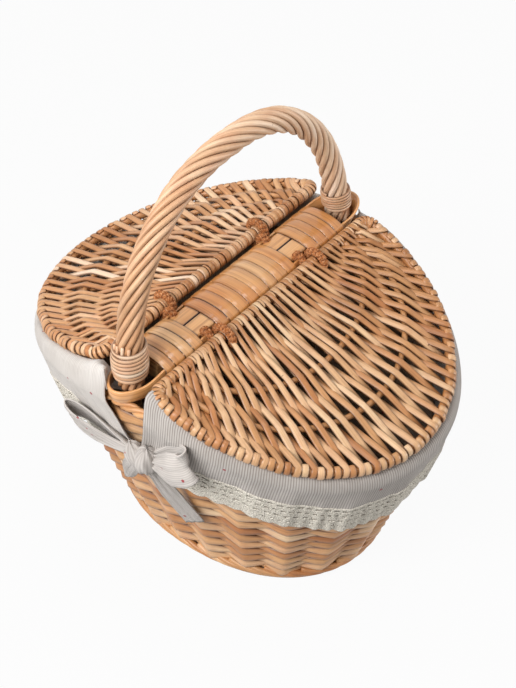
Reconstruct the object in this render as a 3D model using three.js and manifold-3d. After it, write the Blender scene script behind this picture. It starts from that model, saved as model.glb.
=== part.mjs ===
// Oval willow picnic basket: two sloping woven lids, a splint-wrapped bridge, a roped handle, a linen liner.
// Millimetres, +Z up. X runs along the bridge from handle foot to handle foot, Y runs across it to the lids.
// The origin is the middle of the underside of the base.

import * as THREE from "three";
import { mergeVertices } from "three/addons/utils/BufferGeometryUtils.js";
import Module from "manifold-3d";

const wasm = await Module();
wasm.setup();

// Clearances
const SEAT = 0.4; // between pieces that rest on or fit round each other
const STRAND_GAP = 0.8; // between neighbouring strands of one cord or binding

// Basket body
const BASE_HALF_WIDTH = 89;
const BASE_HALF_LENGTH = 122;
const BASE_THICKNESS = 9;
const WIDTH_FLARE = 0.245; // growth of the half width for each unit of height
const LENGTH_FLARE = 0.385;
const OVAL_POWER = 2.15; // 2 is an ellipse, more is squarer
const WALL_THICKNESS = 8;
const STAKES = 22;
const STAKE_BULGE = 1.6; // how far the weavers stand out where they pass a stake
const WEAVE_RELIEF = 3.4; // from the bulge at a stake in to the wall halfway to the next
const FOOT_ROD = 7;
const RIM_ROD = 9;
const RIM_ROUNDING = 6; // softens the rim where it bends from level to sloping

// Bridge
const HINGE_HEIGHT = 242; // lid hinge lines, and the top edge of the bridge band
const BRIDGE_HALF_WIDTH = 20;
const BRIDGE_SETBACK = 15; // from the middle of a handle foot back to the end of the band's straight runs
const BAND_END_REACH = 36; // how far the band's rounded ends reach past that
const BAND_HEIGHT = 16;
const BAND_THICKNESS = 2.2;
const CORE_HALF_WIDTH = 11.5;
const SLAT_THICKNESS = 3;
const SPLINT_THICKNESS = 1.4;
const BRIDGE_CROWN = 4.6; // rise of the wraps above the band's top edge
const CENTRE_WRAP_LENGTH = 92;
const WRAP_GAP = 20; // bare stretch of slats where a hinge cord passes
const WRAP_MARGIN = 2; // from the end of an outer wrap to the end of the band's straight runs

// Lids
const LID_HALF_WIDTH = 134.5;
const LID_DEPTH = 174;
const LID_CORNER = 8;
const LID_SHIFT = 4; // how far each lid has slipped along its hinge
const LID_SLOPE = THREE.MathUtils.degToRad(20.5);
const LID_FRAME_ROD = 11;
const LID_WEAVE_THICKNESS = 7;
const LID_RIB_ROD = 5.5;
const LID_RIB_SHARES = [
  { name: "inner", width: 0.714, depth: 0.39 }, // as shares of the lid's width and depth
  { name: "outer", width: 0.833, depth: 0.667 },
];
const HINGE_GAP = 4; // between the bridge wraps and the lid frame

// Hinge cords
const CORD = 4;
const CORD_SIDES = 5;
const CORD_STEPS = 36;
const CORD_ROOM = 0.7; // between a cord and the band it turns round

// Handle
const HANDLE_HALF_SPAN = 125;
const HANDLE_RISE = 140; // from the hinge height to the middle of the handle at its top
const HANDLE_POWER = 2.2;
const HANDLE_CORE = 10;
const HANDLE_RODS = 9;
const HANDLE_ROD = 4.5;
const HANDLE_TURNS = 3.6; // turns of the rods from foot to foot
const HANDLE_ROD_FOOT = 12; // how far the rods run below the hinge height
const HANDLE_LEG_END = 70; // height at which the core ends inside the wall

// Handle bindings, wound with cane round both feet
const BINDING_TURNS = 7;
const BINDINGS = [
  { name: "left", side: -1, cane: 3.0 },
  { name: "right", side: 1, cane: 2.4 },
];
const BINDING_MIDDLE = 25; // from a lower end of the rods along the arch to the middle of a binding
const BINDING_ROOM = 0.9; // between a binding and the rods, which bend with the arch

// Liner
const CLOTH = 1.6;
const LINER_FLOOR_THICKNESS = 2.4;
const LINER_TOP_DROP = 10; // from the top of the wall down to the top of the liner's side
const CUFF_DEPTH = 25;
const CUFF_STANDOFF = 3; // slack between the hanging cuff and the wall
const CUFF_FOLD = 2.2; // height of the folds at the hem
const CUFF_FOLDS = 8;
const CUFF_SPLIT = 21; // half width of the split at the rim beside each handle foot
const CUFF_SPLIT_HEM = 15; // half width of the split at the hem
const LACE_DEPTH = 36;
const LACE_SCALLOP = 3;
const LACE_SCALLOPS = 16;

// Tie bows below the handle feet
const BOW_DROP = 62; // from the hinge height down to the middle of the knot
const BOW_SHIFT = 18; // from the handle foot along the wall to the middle of the knot
const KNOT_HALF = new THREE.Vector3(9, 12, 13); // outwards, along the wall, up
const STRAP_WIDTH = 17;
const STRAP_THICKNESS = 2;
const REAR_LOOP_LENGTH = 66;
const FRONT_LOOP_LENGTH = 40;
const FRONT_LOOP_LIFT = 0.6; // rise for each millimetre along the wall
const LOOP_HALF_THICKNESS = 5;
const LOOP_BULGE = 1.3; // how far the loops swell beyond their rounded tips
const LOOP_ROOM = 5; // lets the tips of the loops stand off the cuffs
const LONG_TAIL = { along: 16, down: 76, stand: 0 };
const SHORT_TAIL = { along: -28, down: 44, stand: 8 };

// Values worked out from the driving dimensions
const HINGE_Y = BRIDGE_HALF_WIDTH + SPLINT_THICKNESS + HINGE_GAP + LID_FRAME_ROD / 2;
const BAND_BOTTOM = HINGE_HEIGHT - BAND_HEIGHT;
const ROD_RING = HANDLE_CORE / 2 + SEAT + HANDLE_ROD / 2 + SEAT; // radius of the ring of handle rods
const ROPE_RADIUS = ROD_RING + HANDLE_ROD / 2;
const BRIDGE_END = HANDLE_HALF_SPAN - BRIDGE_SETBACK;
const WRAP_START = CENTRE_WRAP_LENGTH / 2 + WRAP_GAP;
const SIDE_WRAP_LENGTH = BRIDGE_END - WRAP_MARGIN - WRAP_START;
const CORD_X = CENTRE_WRAP_LENGTH / 2 + WRAP_GAP / 2;
const BOW_HEIGHT = HINGE_HEIGHT - BOW_DROP;
const LID_RIBS = LID_RIB_SHARES.map(({ name, width, depth }) => {
  return { name, halfWidth: width * LID_HALF_WIDTH, depth: depth * LID_DEPTH };
});

// Materials
const paint = (color, roughness) => new THREE.MeshStandardMaterial({ color, roughness, metalness: 0 });
const WILLOW = paint(0xd3a66c, 0.55);
const PEELED_WILLOW = paint(0xd9b98c, 0.5);
const BAMBOO = paint(0xc98f4c, 0.42);
const CANE = paint(0xd8b58c, 0.45);
const COIR = paint(0x9c5a2c, 0.9);
const LINEN = paint(0xc9c4bf, 0.95);
const LACE = paint(0xd9d3c2, 0.95);

const basket = new THREE.Group();
basket.name = "picnic_basket";

function add(parent, name, geometry, material) {
  const mesh = new THREE.Mesh(geometry, material);
  mesh.name = name;
  parent.add(mesh);
  return mesh;
}

// Signed volume of an indexed geometry, used to make faces point outwards.
function signedVolume(positions, index) {
  const corner = (i) => new THREE.Vector3().fromArray(positions, 3 * index[i]);
  let volume = 0;
  for (let i = 0; i < index.length; i += 3) volume += corner(i).dot(corner(i + 1).cross(corner(i + 2))) / 6;
  return volume;
}

// Closed solid through a list of sections, each a loop of points. The list closes on itself, or its ends are
// capped by strips between the first and last points of a section, which suits thin sheets and convex loops.
function loft(sections, closed = false) {
  const around = sections[0].length;
  const count = sections.length;
  const positions = sections.flat().flatMap((p) => [p.x, p.y, p.z]);
  const index = [];
  for (let i = 0; i < (closed ? count : count - 1); i++) {
    for (let j = 0; j < around; j++) {
      const next = (j + 1) % around;
      const a = i * around + j;
      const b = i * around + next;
      const c = ((i + 1) % count) * around + j;
      const d = ((i + 1) % count) * around + next;
      index.push(a, b, d, a, d, c);
    }
  }
  if (!closed) {
    const first = 0;
    const last = (count - 1) * around;
    for (let j = 0; j < around / 2 - 1; j++) {
      const [a, b, c, d] = [j, j + 1, around - 2 - j, around - 1 - j];
      index.push(first + a, first + d, first + b);
      index.push(last + a, last + b, last + d);
      if (b === c) continue;
      index.push(first + b, first + d, first + c);
      index.push(last + b, last + c, last + d);
    }
  }
  if (signedVolume(positions, index) < 0) index.reverse();
  const geometry = new THREE.BufferGeometry();
  geometry.setAttribute("position", new THREE.Float32BufferAttribute(positions, 3));
  return geometry.setIndex(index);
}

// manifold-3d solid of a geometry, and back again.
function toSolid(geometry) {
  const bare = geometry.clone();
  bare.deleteAttribute("normal");
  bare.deleteAttribute("uv");
  const merged = mergeVertices(bare, 1e-3);
  const vertProperties = new Float32Array(merged.getAttribute("position").array);
  return new wasm.Manifold(
    new wasm.Mesh({ numProp: 3, vertProperties, triVerts: new Uint32Array(merged.index.array) }),
  );
}

function toGeometry(solid) {
  const mesh = solid.getMesh();
  const geometry = new THREE.BufferGeometry();
  geometry.setAttribute("position", new THREE.BufferAttribute(new Float32Array(mesh.vertProperties), 3));
  return geometry.setIndex(new THREE.BufferAttribute(new Uint32Array(mesh.triVerts), 1));
}

// Regular polygon for the section of a rod.
function roundSection(diameter, sides) {
  const points = [];
  for (let i = 0; i < sides; i++) {
    const angle = (2 * Math.PI * i) / sides;
    points.push(new THREE.Vector2(Math.cos(angle), Math.sin(angle)).multiplyScalar(diameter / 2));
  }
  return new THREE.Shape(points);
}

// Rod of even thickness along an open curve.
function rod(curve, diameter, steps, sides) {
  const section = roundSection(diameter, sides);
  return new THREE.ExtrudeGeometry(section, { steps, extrudePath: curve, bevelEnabled: false });
}

// Rod of even thickness along a closed curve.
function ring(curve, diameter, steps, sides) {
  return new THREE.TubeGeometry(curve, steps, diameter / 2, sides, true);
}

function extrude(shape, depth, curveSegments = 12) {
  return new THREE.ExtrudeGeometry(shape, { depth, curveSegments, bevelEnabled: false });
}

// Extrusion along X of a shape drawn in Y and Z, centred on a place along X.
function extrudeAlongX(shape, length, middle) {
  const geometry = extrude(shape, length).translate(0, 0, -length / 2);
  const turn = new THREE.Matrix4().makeBasis(
    new THREE.Vector3(0, 1, 0),
    new THREE.Vector3(0, 0, 1),
    new THREE.Vector3(1, 0, 0),
  );
  return geometry.applyMatrix4(turn).translate(middle, 0, 0);
}

// Point of an oval with given half width and half length, and the same oval moved outwards by an offset.
function ovalPoint(angle, halfWidth, halfLength, offset = 0) {
  const cos = Math.cos(angle);
  const sin = Math.sin(angle);
  const bend = (v, power) => Math.sign(v) * Math.abs(v) ** power;
  const x = halfWidth * bend(cos, 2 / OVAL_POWER);
  const y = halfLength * bend(sin, 2 / OVAL_POWER);
  const normal = new THREE.Vector2(
    bend(x / halfWidth, OVAL_POWER - 1) / halfWidth,
    bend(y / halfLength, OVAL_POWER - 1) / halfLength,
  ).normalize();
  return new THREE.Vector2(x + normal.x * offset, y + normal.y * offset);
}

// Point on the outside of the basket's wall at a height, moved outwards by an offset.
function wallPoint(angle, height, offset = 0) {
  const halfWidth = BASE_HALF_WIDTH + WIDTH_FLARE * height;
  const halfLength = BASE_HALF_LENGTH + LENGTH_FLARE * height;
  const p = ovalPoint(angle, halfWidth, halfLength, offset);
  return new THREE.Vector3(p.x, p.y, height);
}

// Angle on the wall's oval at which it stands at a given distance from the bridge's middle line.
function angleAt(distance, height) {
  const share = distance / (BASE_HALF_LENGTH + LENGTH_FLARE * height);
  return Math.asin(share ** (OVAL_POWER / 2));
}

// Top of the rim rod: under the lids' slope, and under the band's ends beside the handle.
function rimTop(y) {
  const lidDrop = Math.tan(LID_SLOPE) * (Math.abs(y) - HINGE_Y) + LID_FRAME_ROD / 2 / Math.cos(LID_SLOPE);
  const underLid = HINGE_HEIGHT - lidDrop - CLOTH - 3 * SEAT;
  const underBand = BAND_BOTTOM - SEAT;
  const apart = Math.abs(underLid - underBand);
  return Math.min(underLid, underBand) - RIM_ROUNDING * Math.log(1 + Math.exp(-apart / RIM_ROUNDING));
}

// Top of the wall at an angle, found by following the flare up to the rim.
function wallTop(angle) {
  const rounds = 12;
  let height = HINGE_HEIGHT;
  for (let i = 0; i < rounds; i++) height = rimTop(wallPoint(angle, height).y) - RIM_ROD - SEAT;
  return height;
}

const angles = (count, start = 0, end = 2 * Math.PI) =>
  Array.from({ length: count }, (_, i) => start + ((end - start) * i) / count);

// Base: an oval woven floor inside a thick foot rod.
function makeBase() {
  const sides = 40;
  const inset = FOOT_ROD + SEAT;
  const outline = angles(sides).map((a) => ovalPoint(a, BASE_HALF_WIDTH, BASE_HALF_LENGTH, -inset));
  add(basket, "base_panel", extrude(new THREE.Shape(outline), BASE_THICKNESS), WILLOW);

  const footRadius = FOOT_ROD / 2;
  const foot = angles(sides).map((a) => wallPoint(a, 0, -footRadius).setZ(footRadius));
  const footLine = new THREE.CatmullRomCurve3(foot, true);
  add(basket, "foot_border", ring(footLine, FOOT_ROD, sides, 5), PEELED_WILLOW);
}

// Angles that share the wall's oval at half height into equal lengths.
function evenAngles(count) {
  const steps = angles(1440);
  const points = steps.map((a) => wallPoint(a, HINGE_HEIGHT / 2));
  const lengths = points.map((p, i) => p.distanceTo(points[(i + 1) % points.length]));
  const total = lengths.reduce((sum, length) => sum + length, 0);
  const result = [];
  let run = 0;
  steps.forEach((angle, i) => {
    while (result.length < count && (total * result.length) / count < run + lengths[i]) {
      const part = ((total * result.length) / count - run) / lengths[i];
      result.push(angle + ((2 * Math.PI) / steps.length) * part);
    }
    run += lengths[i];
  });
  return result;
}

// Wall: a flared oval shell, ribbed where the weavers pass its stakes. Its top edge dips from the handle feet
// to both ends and carries a border rod.
function makeWall() {
  const levels = 2;
  const bottom = FOOT_ROD + SEAT;
  const columnsOfPoints = evenAngles(2 * STAKES).map((angle, column) => {
    const between = column % 2;
    const top = wallTop(angle);
    const heights = Array.from({ length: levels + 1 }, (_, i) => bottom + ((top - bottom) * i) / levels);
    const outside = heights.map((h) => wallPoint(angle, h, STAKE_BULGE - WEAVE_RELIEF * between));
    const inside = heights.map((h) => wallPoint(angle, h, STAKE_BULGE * between - WALL_THICKNESS));
    return [...outside, ...inside.reverse()];
  });
  add(basket, "side_wall", loft(columnsOfPoints, true), WILLOW);

  const columns = 44;
  const border = angles(columns).map((angle) => {
    const height = wallTop(angle) + SEAT + RIM_ROD / 2;
    return wallPoint(angle, height, -WALL_THICKNESS / 2);
  });
  const curve = new THREE.CatmullRomCurve3(border, true);
  add(basket, "rim_border", ring(curve, RIM_ROD, columns, 6), PEELED_WILLOW);
}

// Middle line of the arched handle, from foot to foot, with its ends upright.
class HandleArch extends THREE.Curve {
  getPoint(t, target = new THREE.Vector3()) {
    const angle = Math.PI * (1 - t);
    const cos = Math.cos(angle);
    const sin = Math.max(0, Math.sin(angle));
    const base = HINGE_HEIGHT - HANDLE_ROD_FOOT;
    const x = HANDLE_HALF_SPAN * Math.sign(cos) * Math.abs(cos) ** (2 / HANDLE_POWER);
    const z = base + (HANDLE_RISE + HANDLE_ROD_FOOT) * sin ** (2 / HANDLE_POWER);
    return target.set(x, 0, z);
  }
}

// Line of one rod wound round the arch.
class HandleRod extends THREE.Curve {
  constructor(arch, phase) {
    super();
    this.arch = arch;
    this.phase = phase;
  }

  getPoint(t, target = new THREE.Vector3()) {
    const across = new THREE.Vector3(0, 1, 0);
    const outwards = this.arch.getTangentAt(t).cross(across);
    const angle = this.phase - 2 * Math.PI * HANDLE_TURNS * t;
    return target
      .copy(this.arch.getPointAt(t))
      .addScaledVector(outwards, ROD_RING * Math.cos(angle))
      .addScaledVector(across, ROD_RING * Math.sin(angle));
  }
}

// Line of a binding: a coil about the Z axis, with a straight end of one diameter at each end.
class BindingCoil extends THREE.Curve {
  constructor(cane) {
    super();
    this.cane = cane;
    this.radius = ROPE_RADIUS + BINDING_ROOM + cane / 2;
    this.pitch = cane + STRAND_GAP;
  }

  getPoint(t, target = new THREE.Vector3()) {
    const wound = 2 * Math.PI * this.radius * BINDING_TURNS;
    const along = t * (wound + 2 * this.cane) - this.cane;
    const held = THREE.MathUtils.clamp(along, 0, wound);
    const angle = held / this.radius;
    const straight = along - held;
    const climb = this.pitch * (held / wound - 0.5) * BINDING_TURNS;
    return target.set(
      this.radius * Math.cos(angle) - straight * Math.sin(angle),
      this.radius * Math.sin(angle) + straight * Math.cos(angle),
      climb,
    );
  }
}

// Least distance between turns of a coil, less the thickness of its strand, measured on points of its line.
function leastGap(curve, strand, steps, perTurn) {
  const points = curve.getSpacedPoints(steps);
  let least = Infinity;
  for (let i = 0; i < points.length; i++) {
    for (let j = i + Math.round(perTurn / 2); j < points.length; j++) {
      least = Math.min(least, points[i].distanceTo(points[j]));
    }
  }
  return least - strand;
}

// Handle: a bent core whose legs run down inside the wall, rods twisted round it and a binding at each foot.
function makeHandle() {
  const arch = new HandleArch();
  const archSteps = 26;
  const legInset = WALL_THICKNESS + 2 * SEAT + HANDLE_CORE / 2;
  const legX = (height) => Math.min(HANDLE_HALF_SPAN, wallPoint(0, height, -legInset).x);
  const legSteps = 5;
  const legTop = HINGE_HEIGHT - HANDLE_ROD_FOOT;
  const legHeights = Array.from(
    { length: legSteps },
    (_, i) => HANDLE_LEG_END + ((legTop - HANDLE_LEG_END) * i) / legSteps,
  );
  const leftLeg = legHeights.map((h) => new THREE.Vector3(-legX(h), 0, h));
  const rightLeg = legHeights.map((h) => new THREE.Vector3(legX(h), 0, h)).reverse();
  const core = new THREE.CatmullRomCurve3([...leftLeg, ...arch.getSpacedPoints(archSteps), ...rightLeg]);
  add(basket, "handle_core", rod(core, HANDLE_CORE, 40, 6), PEELED_WILLOW);

  const rodSteps = 26;
  const rodSides = 5;
  for (let i = 0; i < HANDLE_RODS; i++) {
    const line = new HandleRod(arch, (2 * Math.PI * i) / HANDLE_RODS);
    add(basket, `handle_rod_${i + 1}`, rod(line, HANDLE_ROD, rodSteps, rodSides), PEELED_WILLOW);
  }

  const stepsPerTurn = 12;
  const steps = stepsPerTurn * BINDING_TURNS + 2;
  for (const { name, side, cane } of BINDINGS) {
    const coil = new BindingCoil(cane);
    const gap = leastGap(coil, cane, steps, stepsPerTurn);
    console.log(`${name} binding: least gap between turns ${gap.toFixed(2)} mm`);
    const mesh = add(basket, `${name}_binding`, rod(coil, cane, steps, 5), CANE);
    const share = BINDING_MIDDLE / arch.getLength();
    const place = side < 0 ? share : 1 - share;
    const upwards = arch.getTangentAt(place).multiplyScalar(-side);
    mesh.position.copy(arch.getPointAt(place));
    mesh.quaternion.setFromUnitVectors(new THREE.Vector3(0, 0, 1), upwards);
    mesh.rotateZ(side > 0 ? Math.PI : 0);
  }
}

// Outline of the bridge band seen from above, drawn in by an inset.
function bandOutline(path, inset) {
  const halfWidth = BRIDGE_HALF_WIDTH - inset;
  path.moveTo(-BRIDGE_END, -halfWidth);
  path.lineTo(BRIDGE_END, -halfWidth);
  path.absellipse(BRIDGE_END, 0, BAND_END_REACH - inset, halfWidth, -Math.PI / 2, Math.PI / 2);
  path.lineTo(-BRIDGE_END, halfWidth);
  path.absellipse(-BRIDGE_END, 0, BAND_END_REACH - inset, halfWidth, Math.PI / 2, (3 * Math.PI) / 2);
  return path;
}

// Section of a splint wrap, domed above the band, drawn out by an offset.
function wrapOutline(path, offset) {
  const side = BRIDGE_HALF_WIDTH + SEAT + offset;
  const bottom = BAND_BOTTOM - SEAT - offset;
  const shoulder = HINGE_HEIGHT + SEAT;
  const crown = HINGE_HEIGHT + BRIDGE_CROWN - SPLINT_THICKNESS + offset;
  path.moveTo(-side, bottom);
  path.lineTo(side, bottom);
  path.lineTo(side, shoulder);
  path.quadraticCurveTo(0, 2 * crown - shoulder, -side, shoulder);
  path.closePath();
  return path;
}

// Bridge: a bamboo band looped round both handle feet, a core board, two slats and three splint wraps.
function makeBridge() {
  const band = bandOutline(new THREE.Shape(), 0);
  band.holes.push(bandOutline(new THREE.Path(), BAND_THICKNESS));
  add(basket, "bridge_band", extrude(band, BAND_HEIGHT, 10).translate(0, 0, BAND_BOTTOM), BAMBOO);

  const coreHalfLength = WRAP_START + SIDE_WRAP_LENGTH;
  const coreTop = HINGE_HEIGHT + BRIDGE_CROWN - SPLINT_THICKNESS - SLAT_THICKNESS - 4 * SEAT;
  const coreHeight = coreTop - BAND_BOTTOM;
  const board = new THREE.BoxGeometry(2 * coreHalfLength, 2 * CORE_HALF_WIDTH, coreHeight);
  add(basket, "bridge_core", board, PEELED_WILLOW).position.z = coreTop - coreHeight / 2;

  const slatWidth = CORE_HALF_WIDTH - SEAT / 2;
  for (const [name, side] of [["front", -1], ["rear", 1]]) {
    const slat = new THREE.BoxGeometry(2 * coreHalfLength, slatWidth, SLAT_THICKNESS);
    const mesh = add(basket, `${name}_bridge_slat`, slat, BAMBOO);
    mesh.position.set(0, side * (slatWidth + SEAT) / 2, coreTop + SEAT + SLAT_THICKNESS / 2);
  }

  const sideMiddle = WRAP_START + SIDE_WRAP_LENGTH / 2;
  const wraps = [
    { name: "left_splint_wrap", middle: -sideMiddle, length: SIDE_WRAP_LENGTH },
    { name: "centre_splint_wrap", middle: 0, length: CENTRE_WRAP_LENGTH },
    { name: "right_splint_wrap", middle: sideMiddle, length: SIDE_WRAP_LENGTH },
  ];
  for (const { name, middle, length } of wraps) {
    const section = wrapOutline(new THREE.Shape(), SPLINT_THICKNESS);
    section.holes.push(wrapOutline(new THREE.Path(), 0));
    add(basket, name, extrudeAlongX(section, length, middle), BAMBOO);
  }
}

// Hinge cord: one strand in a figure of eight, round the band of the bridge and round the lid's frame rod.
function makeHingeCord(name, x, side) {
  const strandShift = (CORD + STRAND_GAP) / 2;
  const lidRadius = LID_FRAME_ROD / 2 + SEAT + CORD / 2;
  const outer = BRIDGE_HALF_WIDTH + CORD_ROOM + CORD / 2;
  const inner = BRIDGE_HALF_WIDTH - BAND_THICKNESS - CORD_ROOM - CORD / 2;
  const middle = (outer + inner) / 2;
  const above = HINGE_HEIGHT + 2 * CORD_ROOM + CORD / 2;
  const below = BAND_BOTTOM - 2 * CORD_ROOM - CORD / 2;
  const round = (degrees, shift) => {
    const angle = THREE.MathUtils.degToRad(degrees);
    const y = HINGE_Y + lidRadius * Math.cos(angle);
    return new THREE.Vector3(shift, y, HINGE_HEIGHT + lidRadius * Math.sin(angle));
  };
  const points = [
    ...[280, 245, 212].map((degrees) => round(degrees, -strandShift)),
    new THREE.Vector3(-strandShift, outer, HINGE_HEIGHT),
    new THREE.Vector3(-strandShift, middle, above),
    new THREE.Vector3(-strandShift, inner, HINGE_HEIGHT),
    new THREE.Vector3(-strandShift / 2, inner, BAND_BOTTOM),
    new THREE.Vector3(0, middle, below),
    new THREE.Vector3(strandShift, outer, BAND_BOTTOM),
    new THREE.Vector3(strandShift, outer, HINGE_HEIGHT - CORD),
    ...[168, 136, 104, 72, 40, 8, -24, -56, -80].map((degrees) => round(degrees, strandShift)),
  ];
  for (const p of points) p.set(x + p.x, side * p.y, p.z);
  const curve = new THREE.CatmullRomCurve3(points);
  add(basket, name, rod(curve, CORD, CORD_STEPS, CORD_SIDES), COIR);
}

// Lid frame seen square to the lid, drawn in by an inset. The hinge line is the straight side at v = 0.
function lidOutline(path, inset) {
  const halfWidth = LID_HALF_WIDTH - LID_FRAME_ROD / 2 - inset;
  const far = LID_DEPTH - LID_FRAME_ROD - inset;
  const corner = LID_CORNER - inset;
  path.moveTo(-halfWidth + corner, inset);
  path.lineTo(halfWidth - corner, inset);
  path.absarc(halfWidth - corner, LID_CORNER, corner, -Math.PI / 2, 0);
  path.absellipse(0, LID_CORNER, halfWidth, far - LID_CORNER, 0, Math.PI);
  path.absarc(-halfWidth + corner, LID_CORNER, corner, Math.PI, (3 * Math.PI) / 2);
  return path;
}

// Plate of the lid's thickness that covers everything inside a rib, drawn out by an offset.
function insideRib({ halfWidth, depth }, offset) {
  const shape = new THREE.Shape();
  shape.moveTo(halfWidth + offset, -LID_FRAME_ROD);
  shape.lineTo(halfWidth + offset, 0);
  shape.absellipse(0, 0, halfWidth + offset, depth + offset, 0, Math.PI);
  shape.lineTo(-halfWidth - offset, -LID_FRAME_ROD);
  const thickness = 2 * LID_WEAVE_THICKNESS;
  return toSolid(extrude(shape, thickness, 20).translate(0, 0, -thickness / 2));
}

// Lid: a bent frame rod, two curved ribs, and the weave in three fields, notched for the hinge cords.
function makeLid(name, turn) {
  const lid = new THREE.Group();
  lid.position.set(LID_SHIFT * Math.cos(turn), HINGE_Y * Math.cos(turn), HINGE_HEIGHT);
  lid.rotation.set(-LID_SLOPE * Math.cos(turn), 0, 0);
  basket.add(lid);
  const flip = new THREE.Group();
  flip.rotation.z = turn;
  lid.add(flip);

  const frameSteps = 72;
  const outline = lidOutline(new THREE.Path(), 0).getSpacedPoints(2 * frameSteps).slice(0, -1);
  const frameLine = new THREE.CatmullRomCurve3(outline.map((p) => new THREE.Vector3(p.x, p.y, 0)), true);
  add(flip, `${name}_lid_frame`, ring(frameLine, LID_FRAME_ROD, frameSteps, 6), WILLOW);

  const ribStart = LID_FRAME_ROD / 2 + 2 * SEAT;
  for (const { name: ribName, halfWidth, depth } of LID_RIBS) {
    const start = Math.asin(ribStart / depth);
    const arc = new THREE.EllipseCurve(0, 0, halfWidth, depth, start, Math.PI - start);
    const points = arc.getSpacedPoints(24).map((p) => new THREE.Vector3(p.x, p.y, 0));
    const line = new THREE.CatmullRomCurve3(points);
    add(flip, `${name}_lid_${ribName}_rib`, rod(line, LID_RIB_ROD, 20, 5), WILLOW);
  }

  const clear = LID_FRAME_ROD / 2 + 3 * SEAT;
  const ribClear = LID_RIB_ROD / 2 + SEAT;
  const plate = extrude(lidOutline(new THREE.Shape(), clear), LID_WEAVE_THICKNESS, 20);
  const field = toSolid(plate.translate(0, 0, -LID_WEAVE_THICKNESS / 2));
  const [innerRib, outerRib] = LID_RIBS;
  let hingeField = field.intersect(insideRib(innerRib, -ribClear));
  const notchRadius = LID_FRAME_ROD / 2 + CORD + 3 * SEAT;
  const notchLength = 2 * CORD + STRAND_GAP + 4 * SEAT;
  for (const side of [-1, 1]) {
    const notch = new THREE.CylinderGeometry(notchRadius, notchRadius, notchLength, 16);
    notch.rotateZ(Math.PI / 2).translate(side * CORD_X - LID_SHIFT, 0, 0);
    hingeField = hingeField.subtract(toSolid(notch));
  }
  const insideOuter = field.intersect(insideRib(outerRib, -ribClear));
  const middleField = insideOuter.subtract(insideRib(innerRib, ribClear));
  const edgeField = field.subtract(insideRib(outerRib, ribClear));
  add(flip, `${name}_lid_hinge_weave`, toGeometry(hingeField), WILLOW);
  add(flip, `${name}_lid_middle_weave`, toGeometry(middleField), WILLOW);
  add(flip, `${name}_lid_edge_weave`, toGeometry(edgeField), WILLOW);
}

// Liner bag: a thin floor and side, drawn in at the handle legs.
const LEG_ROOM = HANDLE_CORE + 8 * SEAT; // what the liner leaves free for a handle leg on the wall
function linerPoint(angle, height, inset) {
  const halfWidth = BASE_HALF_WIDTH + WIDTH_FLARE * height - WALL_THICKNESS - SEAT - LEG_ROOM;
  const halfLength = BASE_HALF_LENGTH + LENGTH_FLARE * height - WALL_THICKNESS - SEAT;
  const p = ovalPoint(angle, halfWidth, halfLength, -inset);
  return new THREE.Vector3(p.x, p.y, height);
}

function makeLinerBag() {
  const columns = 36;
  const floorBottom = BASE_THICKNESS + SEAT;
  const outline = angles(columns).map((a) => {
    const p = linerPoint(a, floorBottom, SEAT);
    return new THREE.Vector2(p.x, p.y);
  });
  const floor = extrude(new THREE.Shape(outline), LINER_FLOOR_THICKNESS).translate(0, 0, floorBottom);
  add(basket, "liner_floor", floor, LINEN);

  const bottom = floorBottom + LINER_FLOOR_THICKNESS + SEAT;
  const sections = angles(columns).map((angle) => {
    const top = wallTop(angle) - LINER_TOP_DROP;
    const heights = [bottom, (bottom + top) / 2, top];
    const outside = heights.map((h) => linerPoint(angle, h, 0));
    const inside = heights.map((h) => linerPoint(angle, h, CLOTH)).reverse();
    return [...outside, ...inside];
  });
  add(basket, "liner_side", loft(sections, true), LINEN);
}

// Places along a cuff, from one handle foot round an end of the basket to the other.
function cuffAngle(share, drop, side) {
  const height = BAND_BOTTOM;
  const half = THREE.MathUtils.lerp(angleAt(CUFF_SPLIT, height), angleAt(CUFF_SPLIT_HEM, height), drop);
  return side * THREE.MathUtils.lerp(half, Math.PI - half, share);
}

// Distance of the hanging cuff's inner face from the wall, with folds that grow towards the hem.
function cuffOffset(share, drop) {
  const fold = (1 - Math.cos(2 * Math.PI * CUFF_FOLDS * share)) / 2;
  return CUFF_STANDOFF + CUFF_FOLD * fold * drop;
}

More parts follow.
